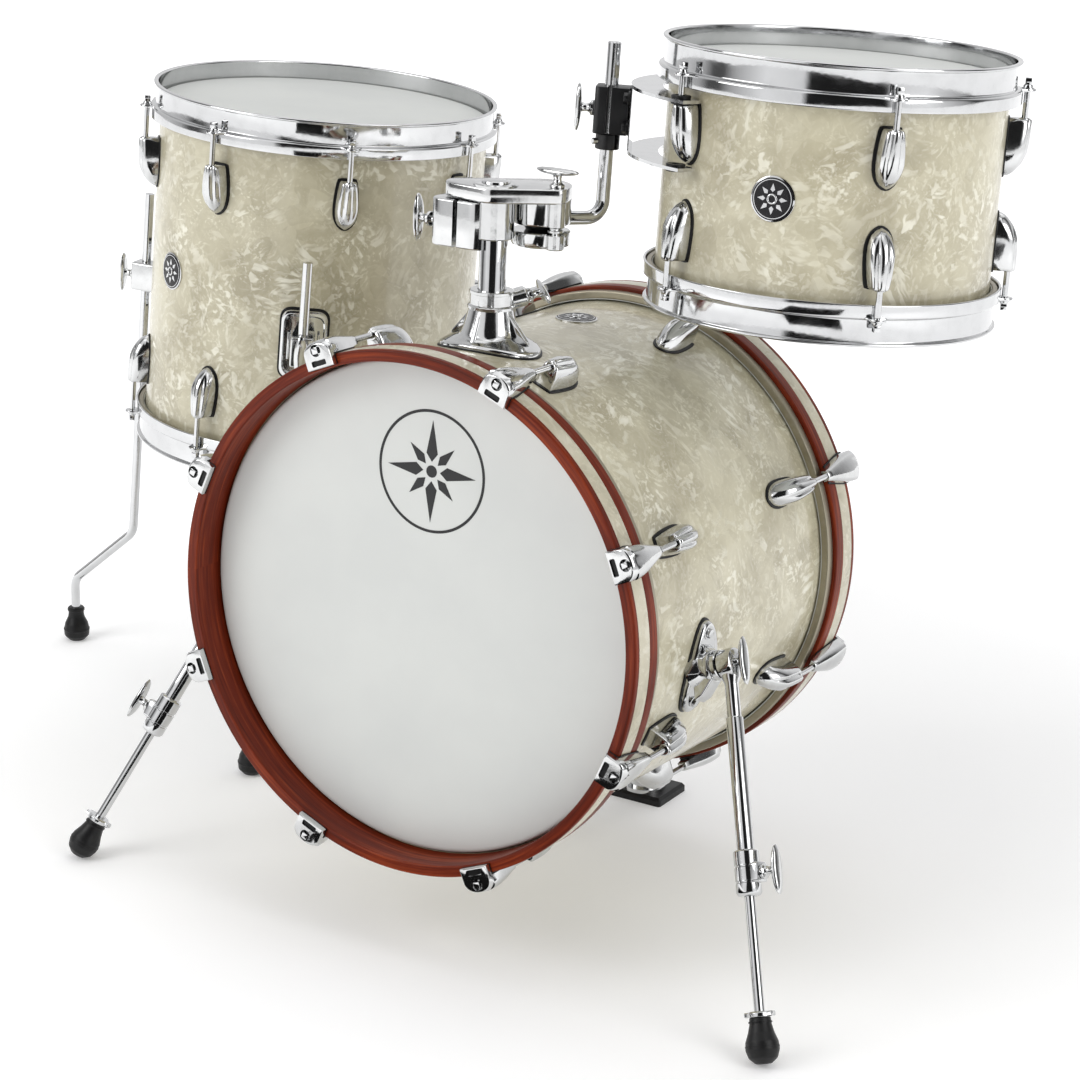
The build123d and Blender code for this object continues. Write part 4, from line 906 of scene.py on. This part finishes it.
def holder():
    """Cast holder: top plate, sleeve, ball cup with its cap, and the split left barrel."""
    split, start, outer = BARREL[:3]
    sleeve, under, over = POST_R + 0.2, PLATE[0] + 1, PLATE[1] - 1
    ball = placed(joint_at("ball_yaw"), post_up, X)
    ball_xy, bolt_xy = ((post.inverted() @ joint_at(name)).xy for name in ("ball_yaw", "holder_right_wing_turn"))
    cup, bolt = (placed(post @ Vector((*xy, 0)), post_up, X) for xy in (ball_xy, bolt_xy))
    arm_way = placed(cup.translation, post_up, post.to_3x3() @ Vector((*ball_xy, 0)))
    sphere = [(BALL_CUP_R * sin(pi * k / 20), -BALL_CUP_R * cos(pi * k / 20)) for k in range(21)]

    bm, shaped = bmesh.new(), bmesh.new()
    eased(bm, post, hull([(0, 0, 21), (*bolt_xy, 9), (*ball_xy, CUP_R), (-36, 0, 15)]), *PLATE, 2.2, 3)
    lathe(bm, post, [(sleeve, over), (20.6, over), (20.6, over + 2.4), (19.6, over + 3.4), (15, over + 3.8),
                     (sleeve, over + 3.2)], 64)
    lathe(bm, post, [(sleeve, 98), (16.8, 98), (18, 99.2), (18, under), (sleeve, under)], 64)
    lathe(shaped, cup, [(0, CUP_LOW), (CUP_R - 2.2, CUP_LOW), (CUP_R - 0.6, CUP_LOW + 0.7), (CUP_R, CUP_LOW + 2.4),
                        (CUP_R, under), (0, under)], 96)
    shaped = turned_out(shaped, ball, sphere, 48)
    stamp(bm, slotted(shaped, arm_way, oblong(0, CUP_R + 5, -15, 15), CUP_LOW - 1, 123))
    r = BOLT_BORE_R
    lathe(bm, bolt, [(r, CUP_LOW), (7, CUP_LOW), (8.4, CUP_LOW + 1.2), (8.4, under), (r, under)], 40)
    lathe(bm, bolt, [(r, over), (9.4, over), (9.4, over + 1), (8.6, over + 1.3), (r, over + 1.3)], 40)
    stamp(bm, barrel_half(4, split))
    piece("holder_casting", bm, cast, "holder", "holder_body", sharp=38)

    caps, base, nut = bmesh.new(), bmesh.new(), bmesh.new()
    low, high = CAP
    lathe(base, cup, [(0, low), (CUP_R - 3, low), (CUP_R - 0.9, low + 0.9), (CUP_R, low + 3), (CUP_R, high - 0.8),
                      (CUP_R - 0.8, high), (0, high)], 96)
    stamp(caps, turned_out(base, ball, sphere, 48))
    lathe(caps, bolt, [(r, low), (7.4, low), (8.6, low + 1.2), (8.6, high - 0.8), (7.8, high), (r, high)], 40)
    stamp(caps, barrel_half(start, outer))
    piece("holder_cap_castings", caps, cast, "holder", "holder_caps", sharp=38)
    hex_bolt(nut, lift(bolt, high + 3), 5.6, 4.4)
    piece("holder_bolt_nut", nut, cast, "holder")


# ---- spurs
def spur_bracket(name, sign, hub, eye, leg):
    """Egg-shaped plate on the shell with a turned boss, a saddle and two bolts."""
    bm = bmesh.new()
    place = on_shell(BASS, PAD_SPOTS[name], PAD_HEIGHT)
    steps = [(1, 1.4), (1, 4.0), (0.985, 5.6), (0.95, 6.7), (0.90, 7.0), (0.86, 6.7), (0.82, 5.6), (0.74, 5.4),
             (0.5, 5.6), (0.25, 5.8)]
    stepped_disc(bm, place, egg(44.6, 22.4, sign * 0.12), steps)
    lathe(bm, eye, [(0, -36), (19.5, -36), (17.6, -29), (15.2, -25.4), (14.2, -23.4), (14.2, -20.6), (14.8, -20),
                    (15, -19.2), (15, -16), (14.4, -15.2), (12.6, -14.8), (12.6, -13.6), (13.8, -13.2), (13.8, -9.6),
                    (13, -8.6), (0, -8.6)], 64)
    saddle = [(-10, -13), (-14, -16), (-26, -27), (-30, -36), (30, -36), (26, -27), (14, -16), (10, -13)]
    eased(bm, placed(hub, axis(leg, 1), axis(leg, 2)), saddle, -8.5, 8.5, 2.6, 4, 25)
    for x in (-33.5, 33.5):
        at = place(x, 0, 4.8)
        hex_bolt(bm, placed(at, place(x, 0, 9) - at, axis(bass, 2)), 4.6, 3.4)
    piece(f"spur_bracket_{name}", bm, cast, "kit", *(("spur_brackets",) if sign > 0 else ()), sharp=38)


def spur_leg(name, eye, leg):
    """Tube with its hub, neck and grooved clamp."""
    bm = bmesh.new()
    lathe(bm, eye, [(0, -7.9), (11.8, -7.9), (13.2, -6.8), (13.5, -5.4), (13.5, 5.2), (13.1, 6.8), (11.6, 7.9),
                    (7.4, 7.9), (7, 7.2), (0, 7.2)], 64)
    profile = [(0, 4), (NECK_R + 2.6, 4), (NECK_R + 2.4, 13), (NECK_R, 19), (NECK_R, NECK - 1.5),
               (TUBE_R - 0.4, NECK - 1), (TUBE_R, NECK), (TUBE_R, TUBE - 41)]
    clamp = [(10.6, -40), (11.5, -39), (11.5, -27.5), (10.7, -26.9), (10.7, -25.6), (11.5, -25), (11.5, -13.5),
             (10.7, -12.9), (10.7, -11.6), (11.5, -11), (11.5, -3), (10, -0.6), (8.6, 0), (5, 0), (5, -6), (0, -6)]
    lathe(bm, leg, profile + [(r, TUBE + z) for r, z in clamp], 56)
    eased(bm, side(leg, 0, 0, TUBE - 20), rounded(oblong(-8, 8, -9, 9), 3, 4), 5, 14.9, 1.0, 2, 50)
    piece(f"spur_leg_{name}", bm, chrome, f"spur_{name}", f"spur_tube_{name}", sharp=38)


def spur_foot(name, leg, end):
    """Rubber bulb with two ribs, and the eared nut that locks it."""
    bulb, nut = bmesh.new(), bmesh.new()
    top, bore = end - 40, SPUR_THREAD_R
    lathe(bulb, leg, rounded([(bore, top), (9.4, top), (9.8, top + 6), (11.6, top + 13), (14.6, top + 21),
                              (15, top + 28), (12.6, end - 5), (7, end - 0.2), (bore, end - 0.2)],
                             [0.4, 1.2, 3, 5, 5, 5, 5, 3, 0.3], 6), 72)
    for height, reach in ((top + 4, 10.5), (top + 25, 15.3)):
        lathe(bulb, leg, [(8, height - 1.2), (reach - 0.1, height - 0.7), (reach, height), (reach - 0.1, height + 0.7),
                          (8, height + 1.2)], 72)
    piece(f"spur_bulb_{name}", bulb, rubber, f"spur_foot_{name}", f"spur_foot_{name}", slot="rubber")
    lathe(nut, leg, rounded([(bore, top - 5), (9.6, top - 5), (11, top - 3.4), (11, top - 0.1), (bore, top - 0.1)],
                            [0.3, 0.8, 0.8, 0.4, 0.3]), 48)
    for turn in (0, 180):
        eased(nut, side(leg, turn, 0, top - 2.6), rounded(oblong(-3.6, 3.6, -2.2, 2.2), 0.8, 2), 6, 14.3, 0.8)
    piece(f"spur_nut_{name}", nut, chrome, f"spur_foot_{name}")


def spur(name):
    """One spur: bracket on the shell, folding tube with its clamp, and foot."""
    sign = 1 if name == "right" else -1
    out = joint_axis(f"spur_lock_turn_{name}")
    hub = joint_at(f"spur_fold_{name}")
    leg = placed(hub, joint_axis(f"spur_rod_slide_{name}"), out)
    eye = placed(hub, out, axis(leg, 2))
    spur_bracket(name, sign, hub, eye, leg)
    spur_leg(name, eye, leg)
    spur_foot(name, leg, (Vector((sign * SPUR_TIP.x, SPUR_TIP.y, SPUR_TIP.z)) - hub).length)


# ---- floor tom's leg brackets and feet
def leg_brackets():
    """Cast brackets with a raised frame, two screws and a grip bored for the leg."""
    bm = bmesh.new()
    for angle in LEG_ANGLES:
        place = on_shell(FLOOR, angle, BRACKET_MID)
        where = side(floor_tom, angle, FLOOR.radius, BRACKET_MID)
        bore = placed(polar(floor_tom, angle, LEG_OUT), axis(floor_tom, 2), X)
        grip = bmesh.new()
        stepped_disc(bm, place, rounded(oblong(-24, 24, -37, 37), 12, 8),
                     [(1, 1.4), (1, 4.4), (0.98, 5.6), (0.93, 6.1), (0.86, 6.0), (0.82, 4.4), (0.6, 4.2), (0.3, 4.2)])
        prism(grip, where, rounded(oblong(-12, 12, -16, 16), 3, 4), 2, LEG_OUT + 13 - FLOOR.radius)
        soften(grip, 1.6, 3, 50)
        stamp(bm, bored(grip, bore, LEG_BORE_R, -120, 40, 36))
        for y in (-27, 27):
            at = place(0, y, 4)
            hex_bolt(bm, placed(at, place(0, y, 9) - at, axis(floor_tom, 2)), 4.4, 3.0)
        for x in (-15.6, 15.6):
            eased(bm, where, oblong(x - 1.4, x + 1.4, -15, 15), 3, 11, 1.2)
    piece("leg_bracket_castings", bm, cast, "floor_tom", "floor_leg_brackets", sharp=38)


def leg_foot(k):
    """Ribbed rubber bulb of one of the floor tom's legs."""
    centre = middle(f"floor_foot_{k}")
    stand = placed((centre.x, centre.y, 0), (0, 0, 1), X)
    bm = bmesh.new()
    lathe(bm, stand, rounded([(0, 0.1), (9, 0.1), (14.6, 6), (15, 13), (13.4, 21), (9.6, 29), (9.0, 33), (9.0, 40.9),
                              (5.2, 40.9), (5.2, 8), (0, 8)], [0, 3, 4, 5, 5, 3, 1, 0.8, 0.2, 0, 0]), 64)
    lathe(bm, stand, rounded([(8, 36.2), (10, 36.4), (10, 39.6), (8, 39.8)], 0.7, 3), 56)
    lathe(bm, stand, rounded([(12, 12), (15.3, 12.4), (15.3, 14.6), (12, 15)], 0.6, 3), 64)
    piece(f"floor_bulb_{k}", bm, rubber, f"floor_leg_{k}", f"floor_foot_{k}", slot="rubber")


for drum in (BASS, TOM, FLOOR):
    shell(drum)
bass_hoops()
for build in (flanged_rims, metal_heads):
    build(TOM)
    build(FLOOR)
for drum in (BASS, TOM, FLOOR):
    lugs(drum)
metal_rods(TOM)
metal_rods(FLOOR)
claws()
for drum in (BASS, TOM, FLOOR):
    badge(drum)
emblem()
tom_post()
post_base()
wing_bolt("post_base_wing", "post_base_wing_turn", "base_wing", "post_base_wing_bolt", X)
wing_bolt("holder_left_wing", "holder_left_wing_turn", "holder_left_wing", "holder_left_bolt", post_up, shank=20)
wing_bolt("holder_right_wing", "holder_right_wing_turn", "holder_right_wing", "holder_right_bolt", X, shank=52)
wing_bolt("tom_mount_wing", "tom_wing_turn", "tom_wing", "tom_mount_wing_bolt", axis(tom, 2), shank_r=4, shank=6.2)
for name in ("right", "left"):
    for kind, shank_r, shank in (("wing", 3.5, 9), ("lock", 4, 30)):
        wing_bolt(f"spur_{kind}_{name}", f"spur_{kind}_turn_{name}", f"spur_{kind}_{name}",
                  f"spur_{kind}_bolt_{name}", joint_axis(f"spur_rod_slide_{name}"), shank_r, shank)
for k in (1, 2, 3):
    wing_bolt(f"floor_wing_{k}", f"floor_wing_turn_{k}", f"floor_wing_{k}", f"floor_wing_bolt_{k}",
              axis(floor_tom, 2), shank=6.5)
for drum, others in ((BASS, bass_pads), (TOM, tom_pads), (FLOOR, floor_pads)):
    gaskets(drum, others)
tom_clamp()
holder()
spur("right")
spur("left")
leg_brackets()
for k in (1, 2, 3):
    leg_foot(k)


# ---- stage, light and camera
def studio_floor():
    bpy.ops.mesh.primitive_plane_add(size=16, location=(0, 0, 0))
    ground = bpy.context.object
    ground.name = "studio_floor"
    n = Nodes(bpy.data.materials.new("studio_white"))
    # painted light: the floor glows, dimly near the kit and brighter further out, so the backdrop reads white
    reach = n.math("DIVIDE", n.vector("DOT_PRODUCT", n.coords(), n.coords()), 16.0)
    glow = n.ramp(reach, [(0.008, (0.13,) * 3), (0.08, (0.50,) * 3), (1.0, (0.70,) * 3)])
    white = n.mix(n.noise(n.coords(), 3.0, 2.0), (0.90, 0.90, 0.90), (0.92, 0.92, 0.92))
    n.shade(Base_Color=white, Roughness=0.9, Specular_IOR_Level=0.1, Emission_Color=(1, 1, 1, 1),
            Emission_Strength=glow)
    ground.data.materials.append(n.owner)


def dark_card():
    """Black wedge on the floor, seen only by the plating of the floor tom's rims."""
    angle = radians(-58.4)
    start = Vector((floor_tom.translation.x, floor_tom.translation.y, 0)) * 0.001
    toward, across = Vector((cos(angle), sin(angle), 0)), Vector((-sin(angle), cos(angle), 0))
    wedge = bmesh.new()
    corners = [(0.75, -0.2), (4.6, -1.25), (4.6, 1.25), (0.75, 0.2)]
    wedge.faces.new([wedge.verts.new(start + toward * x + across * y + Vector((0, 0, 0.002))) for x, y in corners])
    sheet = bpy.data.meshes.new("dark_card")
    wedge.to_mesh(sheet)
    wedge.free()
    black = Nodes(bpy.data.materials.new("dark_card"))
    sheet.materials.append(black.shade(Base_Color=(0.01, 0.01, 0.01), Roughness=1.0, Specular_IOR_Level=0.0))
    card = bpy.data.objects.new("dark_card", sheet)
    bpy.context.scene.collection.objects.link(card)
    card.visible_camera = card.visible_diffuse = card.visible_shadow = False


def sky():
    """White backdrop for the camera; for everything else, soft boxes and dark gaps round the horizon."""
    # (share of a turn, brightness)
    boxes = [(0.0, 0.85), (0.05, 0.60), (0.075, 0.12), (0.10, 0.12), (0.125, 0.60), (0.19, 1.25), (0.258, 1.10),
             (0.270, 0.02), (0.405, 0.02), (0.417, 1.10), (0.48, 1.30), (0.56, 0.55), (0.58, 0.10), (0.605, 0.10),
             (0.63, 0.50), (0.72, 1.15), (0.84, 0.95), (0.95, 0.80)]
    n = Nodes(bpy.data.worlds.new("studio"))
    bpy.context.scene.world = n.owner
    where = n.add("SeparateXYZ", i0=n.add("TexCoord").outputs["Generated"]).outputs
    turn = n.grey(n.math("ARCTAN2", where[1], where[0]), -pi, pi)
    bands = n.ramp(turn, [(at, (level, level, level * 1.01)) for at, level in boxes])
    seen = n.add("LightPath").outputs["Is Camera Ray"]
    n.shade(Color=n.mix(seen, bands, (1.35, 1.35, 1.35)), Strength=0.86)


def area_light(name, at, size, power, aim):
    data = bpy.data.lights.new(name, "AREA")
    data.shape = "RECTANGLE"
    data.size, data.size_y = size
    data.energy = power
    lamp = bpy.data.objects.new(name, data)
    bpy.context.scene.collection.objects.link(lamp)
    lamp.location = at
    lamp.rotation_euler = (Vector(aim) - Vector(at)).to_track_quat("-Z", "Y").to_euler()


def photo_camera(azimuth, elevation, roll, distance, target, lens):
    """Camera at the photograph's viewing angle: degrees, metres and millimetres of lens."""
    data = bpy.data.cameras.new("camera")
    data.sensor_width = 36
    data.lens = lens
    camera = bpy.data.objects.new("camera", data)
    bpy.context.scene.collection.objects.link(camera)
    around, above, lean = radians(azimuth), radians(elevation), radians(roll)
    back = Vector((sin(around) * cos(above), -cos(around) * cos(above), sin(above)))
    right = (-back).cross(Vector((0, 0, 1))).normalized()
    up = right.cross(-back)
    pose = Matrix((cos(lean) * right + sin(lean) * up, cos(lean) * up - sin(lean) * right, back))
    pose = pose.transposed().to_4x4()
    pose.translation = Vector(target) + back * distance
    camera.matrix_world = pose
    bpy.context.scene.camera = camera


studio_floor()
dark_card()
sky()
area_light("overhead", (0.0, 0.2, 3.2), (3.2, 3.2), 18, (0, 0.0, 0.3))
area_light("front_left", (-1.9, -2.6, 2.1), (1.8, 1.6), 34, (-0.1, -0.2, 0.4))
area_light("right", (2.6, -0.6, 1.6), (1.2, 1.8), 18, (0.1, -0.2, 0.4))
photo_camera(31.61, 18.46, 1.14, 2.7612, (0.0379, -0.2852, 0.3657), 98.75)
bpy.context.scene.view_settings.view_transform = "Standard"
